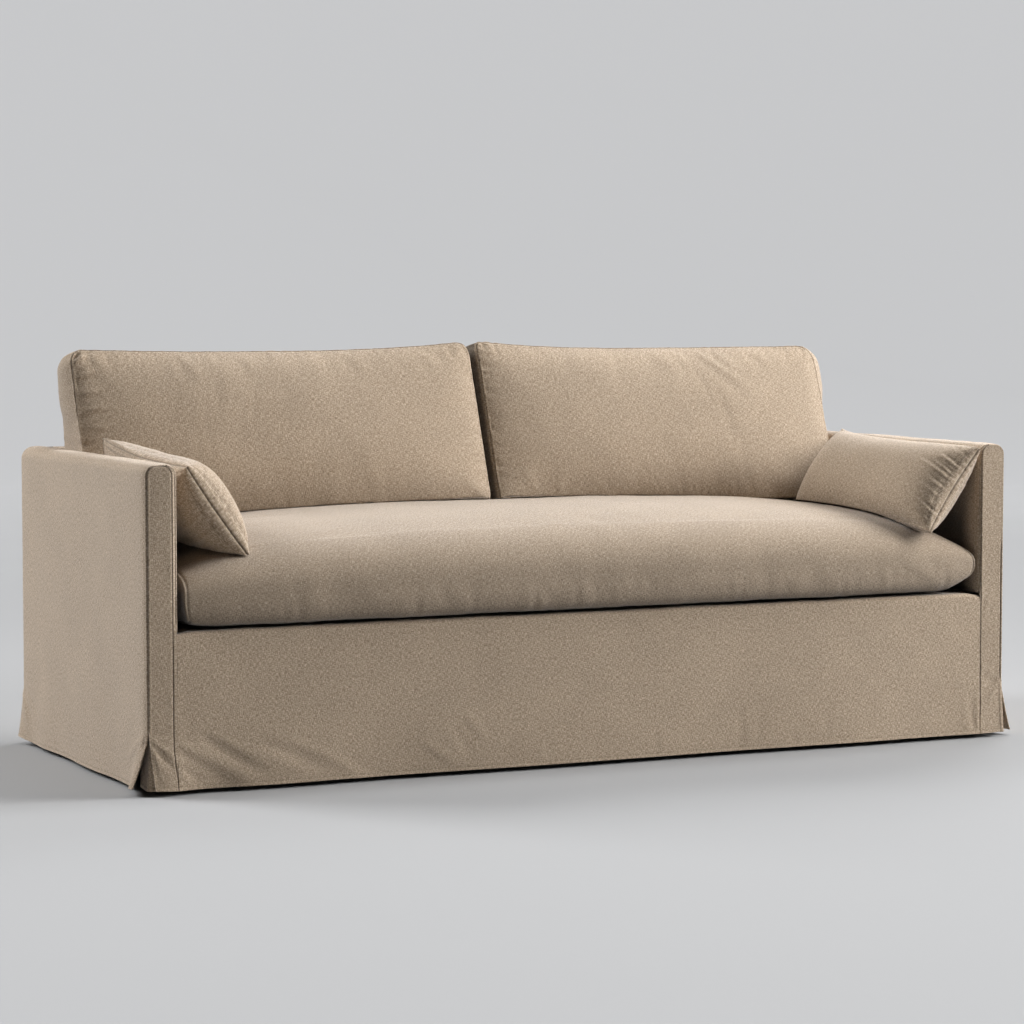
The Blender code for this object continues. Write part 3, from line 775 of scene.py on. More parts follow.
def makeOutsideBack():
    radius = cover["armBackRadius"]
    turns = np.radians(spread(0, 90, 9))
    heights = joinSteps(hemSteps, spread(hemSteps[-1], 0.135, 0.0075), spread(0.135, 0.630, 0.016),
                        cover["armHeight"] - radius * (1 - np.sin(turns)))[:, None]
    share = fromBothEnds(2 * outerX, 0.012) / (2 * outerX)
    inset = topInset(heights, radius)
    opening = slitOpening(heights)
    panelIn, panelOut, lift = (np.where(share < 0.5, corners[1, 1][key], corners[-1, 1][key])
                               for key in ("panelIn", "panelOut", "lift"))
    half = outerX - inset - panelIn * opening
    x = half * (1 - 2 * share)
    flare = bump(half - np.abs(x), cover["flareWidth"]) * opening
    stand = panelOut * flare + skirtDepth(skirtFolds["back"], x, heights)
    height = heights + lift * 0.6 * flare
    points = np.stack([x, backY + stand, floorZ + height], 2)
    fromTop = cover["armHeight"] - heights + 0 * x
    fromSide = half - np.abs(x)
    edge = roundedEdge(radius, fromSide + inset, fromTop, np.minimum(fromSide, fromTop))
    sewn = sewnAbove(heights)
    seam = np.where(sewn > 0.5, edge, fromTop)
    relief = seamRelief(seam, 0.8)
    relief = relief + (1 - sewn) * hemRelief(fromSide) + hemRelief(heights - cover["hem"])
    relief = relief + creases(x, heights, outsideBack["creases"])
    shade = seamShade(seam, 0.8) * hemShade(heights - cover["hem"])
    relief = relief + drape(x, heights, edge, outsideBack["drape"], 330)
    relief = relief + puckers(x, fromTop, outsideBack["puckers"], 332)
    piece, shaped, normals = makeSheet("outsideBack", points, relief, shade, 1, 6.7)
    settle(piece, "outside_back", linenCloth)
    sewRow(shaped, normals, heights[:, 0] - cover["hem"], sewing["hemBand"], 0)


# ---- Corner pleats ----

pleat = {
    "leg": 0.072,
    "setIn": 0.006,
    "top": cover["slit"] + 0.020,
    "radius": 0.010,
    "splay": (0.010, 0.003),    # how far it swings out and back at the hem
    # painted light: the underlay drawn lighter
    "shade": 1.15,
}


def makePleat(word, side, end):
    cornerX = outerX - cover["cloth"] - pleat["setIn"]
    cornerY = backY - cover["cloth"] - pleat["setIn"]
    turns = np.radians(spread(0, 90, 11.25))
    leg = spread(pleat["leg"], pleat["radius"], 0.007)[:-1]
    x = np.concatenate([cornerX + 0 * leg, cornerX - pleat["radius"] * (1 - np.cos(turns)),
                        cornerX - leg[::-1]])
    y = np.concatenate([cornerY - leg, cornerY - pleat["radius"] * (1 - np.sin(turns)),
                        cornerY + 0 * leg])
    bottom = cover["hem"] + 0.001
    heights = joinSteps(bottom + hemSteps - cover["hem"], spread(0.030, pleat["top"], 0.0075))[:, None]
    share = np.clip((heights - bottom) / (pleat["top"] - bottom), 0, 1)
    fromCorner = np.hypot(cornerX - x, cornerY - y)
    splay = (1 - share) ** 1.5 * np.clip(1 - fromCorner / pleat["leg"], 0, 1)
    x = x + pleat["splay"][0] * splay
    y = y + pleat["splay"][1] * splay
    points = np.stack([side * x, end * y, floorZ + heights + 0 * x], 2)
    along = runLength(points[0])
    seed = 340 + 3 * side + end
    relief = hemRelief(heights - bottom) + 0 * x
    relief = relief + 0.0005 * softNoise(along, heights, 0.03, seed)
    name = "pleat_" + ("front_" if end < 0 else "back_") + word
    shade = pleat["shade"] * hemShade(heights - bottom)
    piece, shaped, normals = makeSheet("underlay_" + name, points, relief, shade, side * end, 0.13 * seed)
    settle(piece, name, linenCloth)
    sewRow(shaped, normals, heights[:, 0] - bottom, sewing["hemBand"], 0)


for word, side in (("left", -1), ("right", 1)):
    makeArmCover(word, side)
    makeArmFront(word, side)
    makePleat(word, side, -1)
    makePleat(word, side, 1)
makeFrontSkirt()
makeSeatDeck()
makeInsideBack()
makeOutsideBack()
print("cover made")


# ---- Cushions: tools ----

def boxShell(cuts):             # the skin of a cube from -1 to 1, cut at these places along each axis
    spots, quads, walls = [], [], []
    first = 0
    for axis in range(3):
        i, j = (axis + 1) % 3, (axis + 2) % 3
        for sign in (-1, 1):
            p, q = np.meshgrid(cuts[i], cuts[j], indexing="ij")
            wall = np.zeros((*p.shape, 3))
            wall[..., i], wall[..., j], wall[..., axis] = p, q, sign
            index = first + np.arange(p.size).reshape(p.shape)
            faces = gridQuads(index)
            quads.append(faces if sign > 0 else faces[:, ::-1])
            walls += [(axis, sign)] * len(faces)
            spots.append(wall.reshape(-1, 3))
            first += p.size
    spots = np.round(np.concatenate(spots), 9)
    unique, inverse = np.unique(spots, axis=0, return_inverse=True)
    return unique, inverse.reshape(-1)[np.concatenate(quads)], np.array(walls)


def cutsFromEnds(length, step, fine):       # from -1 to 1 over a real length, with fine cuts at both ends
    fine = np.array(fine)
    middle = spread(fine[-1], length - fine[-1], step)
    return joinSteps(fine, middle, length - fine) / length * 2 - 1


def coordinates(mesh):
    values = np.zeros(len(mesh.vertices) * 3)
    mesh.vertices.foreach_get("co", values)
    return values.reshape(-1, 3)


def vertexNormals(mesh):
    values = np.zeros(len(mesh.vertices) * 3)
    mesh.vertex_normals.foreach_get("vector", values)
    return values.reshape(-1, 3)


def setCoordinates(mesh, values):
    mesh.vertices.foreach_set("co", values.astype(np.float32).ravel())
    mesh.update()


def makeCushion(name, cuts, shape, mapped):
    spots, quads, walls = boxShell(cuts)
    points = shape(spots)
    a, b, c, d = (points[quads[:, k]] for k in range(4))
    if np.einsum("ij,ij->", a, np.cross(b, c)) + np.einsum("ij,ij->", a, np.cross(c, d)) < 0:
        quads = quads[:, ::-1]
    piece = addPiece(name, points, quads, mapped(spots, quads, walls))
    held = piece.data.attributes.new("spot", "FLOAT_VECTOR", "POINT")
    held.data.foreach_set("vector", spots.astype(np.float32).ravel())
    return piece


def readSpots(mesh):
    values = np.zeros(len(mesh.vertices) * 3, np.float32)
    mesh.attributes["spot"].data.foreach_get("vector", values)
    return values.reshape(-1, 3).astype(float)


def smoothed(values, edges, rounds):        # each value moves to the mean of its neighbours
    count = np.bincount(edges.ravel(), minlength=len(values))[:, None]
    for _ in range(rounds):
        total = np.zeros_like(values)
        np.add.at(total, edges[:, 0], values[edges[:, 1]])
        np.add.at(total, edges[:, 1], values[edges[:, 0]])
        values = 0.5 * values + 0.5 * total / count
    return values


filling = {                     # the same for every cushion; each has its own "plump" as well
    "quality": 4,
    "mass": 0.25,
    "shear": 0.4,
    "pressure": 4,
    "frames": 14,
    "rounds": 30,               # how far the ripples are set apart from the swelling
}


def plump(piece, pinned, settings):         # air pressure in a cloth skin a little too big for its seams
    mesh = piece.data
    rest = coordinates(mesh)
    normals = vertexNormals(mesh)
    setCoordinates(mesh, rest - normals * settings["inset"] * (1 - pinned)[:, None])
    group = piece.vertex_groups.new(name="seams")
    for index in np.nonzero(pinned > 0.01)[0]:
        group.add([int(index)], float(pinned[index]), "REPLACE")
    cloth = piece.modifiers.new("plump", "CLOTH")
    how = cloth.settings
    how.quality = filling["quality"]
    how.mass = filling["mass"]
    how.tension_stiffness = how.compression_stiffness = settings["stiffness"]
    how.shear_stiffness = settings["stiffness"] * filling["shear"]
    how.bending_stiffness = settings["bending"]
    how.use_pressure = True
    how.uniform_pressure_force = filling["pressure"]
    how.effector_weights.gravity = 0
    how.vertex_group_mass = "seams"
    how.pin_stiffness = 1
    how.shrink_min = -settings["spare"]
    cloth.collision_settings.use_collision = False
    cloth.point_cache.frame_end = filling["frames"]
    for number in range(1, filling["frames"] + 1):
        scene.frame_set(number)
    graph = bpy.context.evaluated_depsgraph_get()
    moved = coordinates(piece.evaluated_get(graph).data)
    piece.modifiers.remove(cloth)
    piece.vertex_groups.remove(group)
    edges = np.zeros(len(mesh.edges) * 2, int)
    mesh.edges.foreach_get("vertices", edges)
    edges = edges.reshape(-1, 2)
    shift = moved - rest
    shift -= smoothed(shift, edges, filling["rounds"])     # keep the ripples, not the swelling
    size = np.linalg.norm(shift, axis=1, keepdims=True)
    shift *= np.minimum(1, settings["cap"] / np.maximum(size, 1e-9)) * settings["share"]
    setCoordinates(mesh, rest + shift)
    print(f"{piece.name}: ripples up to {size.max() * 1000:.1f} mm, mean {size.mean() * 1000:.2f} mm")


def refine(piece):              # one subdivision, kept as the piece's own mesh
    subdivided = piece.modifiers.new("finer", "SUBSURF")
    subdivided.levels = subdivided.render_levels = 1
    graph = bpy.context.evaluated_depsgraph_get()
    mesh = bpy.data.meshes.new_from_object(piece.evaluated_get(graph), preserve_all_data_layers=True,
                                           depsgraph=graph)
    piece.modifiers.remove(subdivided)
    old = piece.data
    piece.data = mesh
    mesh.name = piece.name
    bpy.data.meshes.remove(old)
    mesh.shade_smooth()
    return readSpots(mesh)


def press(piece, relief, allowed=None):     # moves the surface along its normals
    mesh = piece.data
    points = coordinates(mesh) + vertexNormals(mesh) * relief[:, None]
    if allowed is not None:
        points = allowed(points)
    setCoordinates(mesh, points)


def settleCushion(piece, node):
    settle(piece, node, linenCloth)


# ---- Seat cushion ----

seat = {
    "halfLength": armFaceX - 0.0025,
    "front": frontY - 0.020,
    "back": inside["backFoot"] - 0.010,
    "middle": -0.040,
    "bottom": cover["deckHeight"] + 0.003,
    "nose": 0.396,
    "noseDrop": 0.064,
    "ends": {                       # left and right: how the underside lifts, how the seams draw in
        -1: {"lift": 0.012, "liftPower": 70, "draw": 0.008, "pinch": 0.012},
        1: {"lift": 0.022, "liftPower": 32, "draw": 0.004, "pinch": 0.042},
    },
    "crown": 0.541,
    "drape": ((0.0016, 0.16, None), (0.0005, 0.05, None)),
    "puckers": (0.0016, 0.017, 0.022),
    # painted shade: darker along the end seams, on the ends, under the nose and beside the pillows, and the
    # rest a little darker overall
    "paintedShading": {"seam": 0.34, "end": 0.42, "top": 0.87, "below": 0.58, "beside": 0.60},
    "plump": {"inset": 0.004, "stiffness": 15, "bending": 0.3, "spare": 0.02, "cap": 0.004, "share": 0.3},
}


def seatCrown(share):
    rise = seat["crown"] - seat["bottom"]
    return seat["bottom"] + rise * (1 - 0.23 * share ** 3 - 0.18 * share ** 12)


def seatReach(share):
    return seat["front"] + 0.020 * share ** 6


def seatShape(spots):
    a, b, c = spots.T
    share = np.abs(a)
    power = np.where(b < 0, np.where(c > 0, 2.9, 11.0), 2.7)
    ring = np.maximum(np.abs(b), np.abs(c))
    scale = ring / np.maximum((np.abs(b) ** power + np.abs(c) ** power) ** (1 / power), 1e-9)
    b, c = b * scale, c * scale
    depth = np.where(b < 0, seat["middle"] - seatReach(share), seat["back"] - seat["middle"])
    y = seat["middle"] + b * depth
    low = np.maximum(seat["bottom"], seat["nose"] + c * seat["noseDrop"])
    left, right = seat["ends"][-1], seat["ends"][1]
    lift, power, draw, pinch = (np.where(a < 0, left[key], right[key])
                                for key in ("lift", "liftPower", "draw", "pinch"))
    low = low + lift * share ** power * np.abs(c)
    height = np.where(c > 0, seat["nose"] + c * (seatCrown(share) - seat["nose"]), low)
    drawn = (draw * ring ** 4 + pinch * np.abs(c) ** 2.3) * share ** 12
    x = np.sign(a) * (share * seat["halfLength"] - drawn)
    return np.stack([x, y, floorZ + height], 1)


def seatTop(x, y):
    share = np.minimum(np.abs(x) / seat["halfLength"], 1)
    ahead = y < seat["middle"]
    b = np.where(ahead, (seat["middle"] - y) / (seat["middle"] - seatReach(share)),
                 (y - seat["middle"]) / (seat["back"] - seat["middle"]))
    power = np.where(ahead, 2.9, 2.7)
    c = np.clip(1 - np.clip(b, 0, 1) ** power, 0, 1) ** (1 / power)
    return seat["nose"] + c * (seatCrown(share) - seat["nose"])


def seatRing(wall, b, c):       # how far round the cushion a place lies: 0 at the top's front edge
    return {(2, 1): (1 + b) / 2, (1, 1): 1 + (1 - c) / 2,
            (2, -1): 2 + (1 - b) / 2, (1, -1): 3 + (1 + c) / 2}[wall]


def makeSeatCushion():
    depth = seat["back"] - seat["front"]
    cuts = (cutsFromEnds(2 * seat["halfLength"], 0.0125, (0, 0.003, 0.007, 0.012, 0.020)),
            cutsFromEnds(depth, 0.017, (0, 0.010)), cutsFromEnds(0.20, 0.013, (0, 0.008)))
    steps = np.linspace(0, 1, 41)
    loop = np.concatenate([[(0, 2 * s - 1, 1) for s in steps], [(0, 1, 1 - 2 * s) for s in steps],
                           [(0, 1 - 2 * s, -1) for s in steps], [(0, -1, 2 * s - 1) for s in steps]])
    lengths = runLength(seatShape(loop.astype(float)))
    turns = np.concatenate([side + steps for side in range(4)])

    def mapped(spots, quads, walls):
        uv = np.zeros((*quads.shape, 2))
        points = seatShape(spots)
        for wall in {tuple(w) for w in walls.tolist()}:
            rows = (walls == wall).all(1)
            corner = spots[quads[rows]]
            if wall[0] == 0:
                uv[rows] = points[quads[rows]][..., 1:]
            else:
                around = seatRing(wall, corner[..., 1], corner[..., 2])
                uv[rows, :, 0] = corner[..., 0] * seat["halfLength"]
                uv[rows, :, 1] = np.interp(around, turns, lengths)
        return uv.reshape(-1, 2) + 8.3

    piece = makeCushion("seatCushion", cuts, seatShape, mapped)
    spots = readSpots(piece.data)
    fromEnd = (1 - np.abs(spots[:, 0])) * seat["halfLength"]
    plump(piece, bump(fromEnd, 0.006), seat["plump"])
    spots = refine(piece)
    a, b, c = spots.T
    fromEnd = (1 - np.abs(a)) * seat["halfLength"]
    points = coordinates(piece.data)
    ring = np.maximum(np.abs(b), np.abs(c))
    onSkin = ring > 0.995
    onEnd = np.abs(a) > 0.9995
    inward = np.where(onEnd, (1 - ring) * 0.09, fromEnd)
    around = np.where(np.abs(c) > np.abs(b), points[:, 1], points[:, 2])
    relief = 0.0008 * bump(inward, 0.0022) - 0.0016 * bump(inward - 0.0055, 0.0022)
    relief += puckers(around, inward, seat["puckers"], 401)
    relief += np.where(onSkin, drape(points[:, 0], around, inward, seat["drape"], 402), 0)
    low = np.clip((0.40 - (points[:, 2] - floorZ)) / 0.05, 0, 1) * (b < 0)
    relief += 0.0010 * low * softNoise(points[:, 0], around * 0.2, 0.016, 404)
    relief *= smoothStep((points[:, 2] - floorZ - seat["bottom"] + 0.001) / 0.006) * 0.9 + 0.1
    # painted shade low on the cushion and beside the pillows
    below = smoothStep((seat["bottom"] + 0.060 - points[:, 2] + floorZ) / 0.080)
    beside = smoothStep((np.abs(a) - 0.86) / 0.08) * smoothStep((b + 0.78) / 0.25)
    paintedShading = seat["paintedShading"]
    shade = (1 - paintedShading["seam"] * bump(inward - 0.0050, 0.0014)) * np.where(onEnd, paintedShading["end"], paintedShading["top"])
    addShade(piece, shade * (1 - paintedShading["below"] * below) * (1 - paintedShading["beside"] * beside))
    press(piece, relief, keepOffDeck)
    settleCushion(piece, "seat_cushion")


def keepOffDeck(points):
    points[:, 2] = np.maximum(points[:, 2], floorZ + seat["bottom"] - 0.002)
    points[:, 0] = np.clip(points[:, 0], -armFaceX + 0.001, armFaceX - 0.001)
    return points


makeSeatCushion()
print("seat cushion made")


# ---- Back cushions ----

backCushion = {
    "frontFoot": (0.150, 0.515),        # y and height of the boxing's seams, seen from the side
    "frontTop": (0.290, 0.873),
    "rearFoot": (0.346, 0.490),
    "rearTop": (0.378, 0.838),
    "frontCrown": 0.034,
    "rounding": (0.010, 0.032),         # how far and how fast the front panel swells from its seams
    "rearCrown": 0.006,
    "bulgeFade": 0.12,                  # how far above the arm the outer boxing bulges fully
    "clearance": 0.004,
    "boxingRise": 0.004,                # the top boxing stands above its front seam
    "drape": ((0.0016, 0.12, 0.05), (0.0005, 0.045, 0.02)),
    "gatherHeights": (0.0024, 0.0014),  # beside the end seams and the long seams
    "gathers": (1, 0.009, 0.019),
    "puckers": (0.0010, 0.026, 0.040),
    # painted shade low down, between the cushions and on the outer boxing, and painted light along the top
    "paintedShading": {"low": 0.20, "high": -0.06, "between": 0.68, "boxing": 0.08},
    "fits": {                           # from the middle of the sofa to its arm
        -1: {"front": (-0.0135, 0.946), "rear": (-0.0135, 0.938), "rise": (0.019, 0.008),
             "bulge": (0.0, 0.020), "corner": (0.030, 0.028)},
        1: {"front": (0.034, 0.938), "rear": (0.034, 0.940), "rise": (0.019, 0.002),
            "bulge": (0.018, 0.038), "corner": (0.012, 0.042)},
    },
    "plump": {"inset": 0.004, "stiffness": 15, "bending": 0.25, "spare": 0.008, "cap": 0.004,
              "share": 0.22},
    "creases": {                        # (x, height) on the front panel
        -1: (
            (-0.943, 0.858, -0.922, 0.874, 0.0040, -0.0040),
            (-0.941, 0.850, -0.912, 0.868, 0.0040, 0.0030),
            (-0.936, 0.820, -0.895, 0.832, 0.0060, 0.0024),
            (-0.930, 0.780, -0.890, 0.792, 0.0060, 0.0022),
            (-0.924, 0.745, -0.880, 0.757, 0.0060, 0.0022),
            (-0.918, 0.706, -0.885, 0.712, 0.0060, 0.0020),
            (-0.905, 0.868, -0.860, 0.820, 0.0153, 0.0014),
            (-0.700, 0.866, -0.650, 0.800, 0.0153, 0.0010),
            (-0.560, 0.866, -0.520, 0.820, 0.0136, 0.0008),
            (-0.300, 0.868, -0.250, 0.810, 0.0153, 0.0009),
            (-0.120, 0.872, -0.070, 0.815, 0.0136, 0.0009),
            (-0.640, 0.545, -0.655, 0.585, 0.0136, 0.0010),
            (-0.560, 0.545, -0.548, 0.590, 0.0136, 0.0009),
        ),
        1: (
            (0.482, 0.862, 0.545, 0.812, 0.0153, 0.0010),
            (0.540, 0.862, 0.590, 0.815, 0.0136, 0.0009),
            (0.604, 0.862, 0.745, 0.750, 0.0136, 0.0016),
            (0.650, 0.864, 0.720, 0.800, 0.0136, 0.0011),
            (0.741, 0.866, 0.800, 0.838, 0.0136, 0.0011),
            (0.120, 0.545, 0.105, 0.600, 0.0153, 0.0009),
            (0.180, 0.545, 0.200, 0.610, 0.0153, 0.0009),
        ),
    },
}


def makeBackCushion(word, side):
    size, fit = backCushion, backCushion["fits"][side]
    halfWidth = (fit["front"][1] - fit["front"][0]) / 2
    halfHeight = (size["frontTop"][1] - size["frontFoot"][1]) / 2

    def pick(pair, a):              # the inner end's value or the outer end's
        return np.where(a > 0, pair[1], pair[0])

    def shape(spots):
        a, b, c = spots.T
        a = a * side
        deep = (b + 1) / 2
        inner = fit["front"][0] + (fit["rear"][0] - fit["front"][0]) * deep
        outer = fit["front"][1] + (fit["rear"][1] - fit["front"][1]) * deep
        half = (outer - inner) / 2
        radius = pick(fit["corner"], a)
        past = np.abs(a) * half - (half - radius)
        over = np.abs(c) * halfHeight - (halfHeight - radius)
        turning = (past > 0) & (over > 0)
        scale = np.where(turning, np.maximum(past, over) / np.maximum(np.hypot(past, over), 1e-9), 1)
        a = np.where(turning, np.sign(a) * (half - radius + past * scale) / half, a)
        c = np.where(turning, np.sign(c) * (halfHeight - radius + over * scale) / halfHeight, c)
        swell = np.clip(1 - np.abs(a) ** 2.6, 0, 1) * np.clip(1 - np.abs(c) ** 2.4, 0, 1)
        crown = np.where(b > 0, size["rearCrown"], size["frontCrown"]) * b * swell
        share = (c + 1) / 2
        front = [low + (high - low) * share for low, high in zip(size["frontFoot"], size["frontTop"])]
        rear = [low + (high - low) * share for low, high in zip(size["rearFoot"], size["rearTop"])]
        y = front[0] * (1 - deep) + rear[0] * deep + crown
        height = front[1] * (1 - deep) + rear[1] * deep - 0.3 * crown
        height += pick(fit["rise"], a) * np.abs(a) ** 2.4 * share
        height += size["boxingRise"] * smoothStep((c - 0.9) / 0.1) * np.sqrt(np.clip(1 - b * b, 0, 1))
        bulge = pick(fit["bulge"], a) * (1 - b * b)
        bulge *= np.where(a > 0, smoothStep((height - cover["armHeight"]) / size["bulgeFade"]), 1)
        x = side * ((inner + outer) / 2 + a * (half + bulge))
        height = np.maximum(height, seatTop(x, y) + size["clearance"])
        tucked = height < cover["armHeight"] + 0.02
        y = np.where(tucked, np.minimum(y, inside["backTop"] - 0.006), y)
        x = np.where(tucked, side * np.minimum(side * x, armFaceX - 0.003), x)
        return np.stack([x, y, floorZ + height], 1)

    halves = (halfWidth, 0.075, halfHeight)

    def mapped(spots, quads, walls):
        corner = spots[quads] * halves
        pairs = {0: (1, 2), 1: (0, 2), 2: (0, 1)}
        uv = np.zeros((*quads.shape, 2))
        for axis, pair in pairs.items():
            rows = walls[:, 0] == axis
            uv[rows] = corner[rows][..., pair]
        return uv.reshape(-1, 2) + 10.5 + 2 * side

    fine = (0, 0.0012, 0.0026, 0.0044, 0.0070, 0.0110, 0.0165)
    cuts = (cutsFromEnds(2 * halfWidth, 0.0100, fine), cutsFromEnds(0.14, 0.014, fine),
            cutsFromEnds(2 * halfHeight, 0.0100, fine))
    piece = makeCushion("backCushion_" + word, cuts, shape, mapped)

    def seamDistances(spots):
        a, b, c = spots.T
        inPanel = np.minimum((1 - np.abs(a)) * halfWidth, (1 - np.abs(c)) * halfHeight)
        onFront, onRear = b < -0.9995, b > 0.9995
        toFront = np.where(onFront, inPanel, np.where(onRear, 0.15, (1 + b) / 2 * 0.13))
        toRear = np.where(onRear, inPanel, np.where(onFront, 0.15, (1 - b) / 2 * 0.13))
        return toFront, toRear, onFront

    toFront, toRear, _ = seamDistances(readSpots(piece.data))
    plump(piece, np.maximum(bump(toFront, 0.005), bump(toRear, 0.005)), size["plump"])
    spots = refine(piece)
    toFront, toRear, onFront = seamDistances(spots)
    points = coordinates(piece.data)
    height = points[:, 2] - floorZ
    a, b, c = spots.T
    besideEnd = (1 - np.abs(a)) * halfWidth < (1 - np.abs(c)) * halfHeight
    alongSeam = np.where(besideEnd, points[:, 2], points[:, 0])
    seed = 500 + 20 * side
    nearest = np.minimum(toFront, toRear)
    relief = 0.7 * seamRelief(nearest, 0.35)
    deep, fast = size["rounding"]
    relief += np.where(onFront, deep * (1 - np.exp(-nearest / fast)), 0)
    atSides = (1 - np.abs(a)) * halfWidth < 0.06
    relief += np.where(atSides, *size["gatherHeights"]) * puckers(alongSeam, nearest, size["gathers"], seed)
    relief += puckers(alongSeam, nearest, size["puckers"], seed + 1)
    relief += np.where(onFront, creases(points[:, 0], height, size["creases"][side]), 0)
    relief += drape(points[:, 0], height, nearest, size["drape"], seed + 2)

    def allowed(points):
        floorHere = floorZ + seatTop(points[:, 0], points[:, 1]) + 0.0015
        points[:, 2] = np.maximum(points[:, 2], floorHere)
        return points

    # painted shade in the gap between the cushions, on the outer boxing and low down, and painted light
    # along the top
    between = smoothStep((-a * side - 0.985) / 0.012) * smoothStep((b + 1) / 0.15)
    boxing = smoothStep((a * side - 0.985) / 0.012) * smoothStep((b + 1) / 0.15)
    low, high = smoothStep((0.63 - height) / 0.15), smoothStep((height - 0.80) / 0.06)
    shade = seamShade(nearest, 0.3)
    for key, where in (("low", low), ("high", high), ("between", between), ("boxing", boxing)):
        shade = shade * (1 - size["paintedShading"][key] * where)
    addShade(piece, shade)
    press(piece, relief, allowed)
    settleCushion(piece, "back_cushion_" + word)


# ---- Arm pillows ----

armPillow = {
    "halfLength": 0.234,
    "halfHeight": 0.1125,
    "crowns": (0.0704, 0.0643),     # towards the seat and towards the arm
    "fullness": (5.6, 2.0, 0.49),   # how blunt it is along its length and its height, and how steep
    "edge": 0.003,
    "draw": 0.009,
    "clearance": 0.004,
    "drape": ((0.0016, 0.07, 0.03),),
    "endPuckers": (0.0010, 0.0075, 0.030),
    "longPuckers": (0.0012, 0.016, 0.016),
    "gatherShare": 0.55,
    "places": {
        -1: {"x": 0.8834, "y": -0.1631, "height": 0.5851, "pitch": 4.4, "yaw": -7.3, "lean": 35.4,
             "ear": 0.003, "gathers": {
                1: (
                    (-0.234, 0.020, -0.150, -0.006, 0.005, -0.0026),
                    (-0.234, 0.010, -0.160, -0.012, 0.005, 0.0018),
                    (-0.234, -0.020, -0.090, -0.066, 0.005, -0.0030),
                    (-0.234, -0.030, -0.110, -0.072, 0.005, 0.0020),
                    (-0.234, -0.060, -0.170, -0.082, 0.005, -0.0024),
                ),
                -1: (
                    (-0.234, 0.070, -0.190, 0.086, 0.004, -0.0020),
                    (-0.234, 0.012, -0.180, 0.032, 0.005, -0.0028),
                    (-0.234, -0.012, -0.200, 0.000, 0.005, -0.0020),
                    (-0.234, -0.060, -0.190, -0.044, 0.005, -0.0026),
                ),
            }},
        1: {"x": 0.8305, "y": -0.2207, "height": 0.5758, "pitch": 2.2, "yaw": 10.0, "lean": 35.3,
            "ear": 0.010, "gathers": {
                1: (
                    (-0.234, 0.052, -0.190, 0.030, 0.004, -0.0022),
                    (-0.234, 0.016, -0.190, -0.006, 0.004, -0.0022),
                    (-0.234, -0.026, -0.190, -0.046, 0.004, -0.0019),
                    (-0.234, -0.072, -0.200, -0.086, 0.004, -0.0019),
                ),
                -1: (
                    (-0.234, 0.083, -0.190, 0.096, 0.005, -0.0016),
                    (-0.234, 0.054, -0.182, 0.072, 0.005, -0.0022),
                    (-0.234, 0.046, -0.190, 0.060, 0.004, 0.0016),
                    (-0.234, 0.032, -0.170, 0.052, 0.005, -0.0024),
                    (-0.234, 0.022, -0.150, 0.046, 0.005, -0.0032),
                    (-0.234, 0.013, -0.150, 0.036, 0.004, 0.0026),
                    (-0.234, -0.006, -0.180, 0.010, 0.005, -0.0017),
                    (-0.234, -0.028, -0.180, -0.010, 0.005, -0.0019),
                    (-0.234, -0.066, -0.178, -0.046, 0.004, -0.0030),
                    (-0.234, -0.074, -0.184, -0.056, 0.004, 0.0024),
                    (-0.234, -0.088, -0.192, -0.078, 0.004, -0.0022),
                ),
            }},
    },
    "plump": {"inset": 0.003, "stiffness": 12, "bending": 0.15, "spare": 0.015, "cap": 0.005,
              "share": 0.25},
}


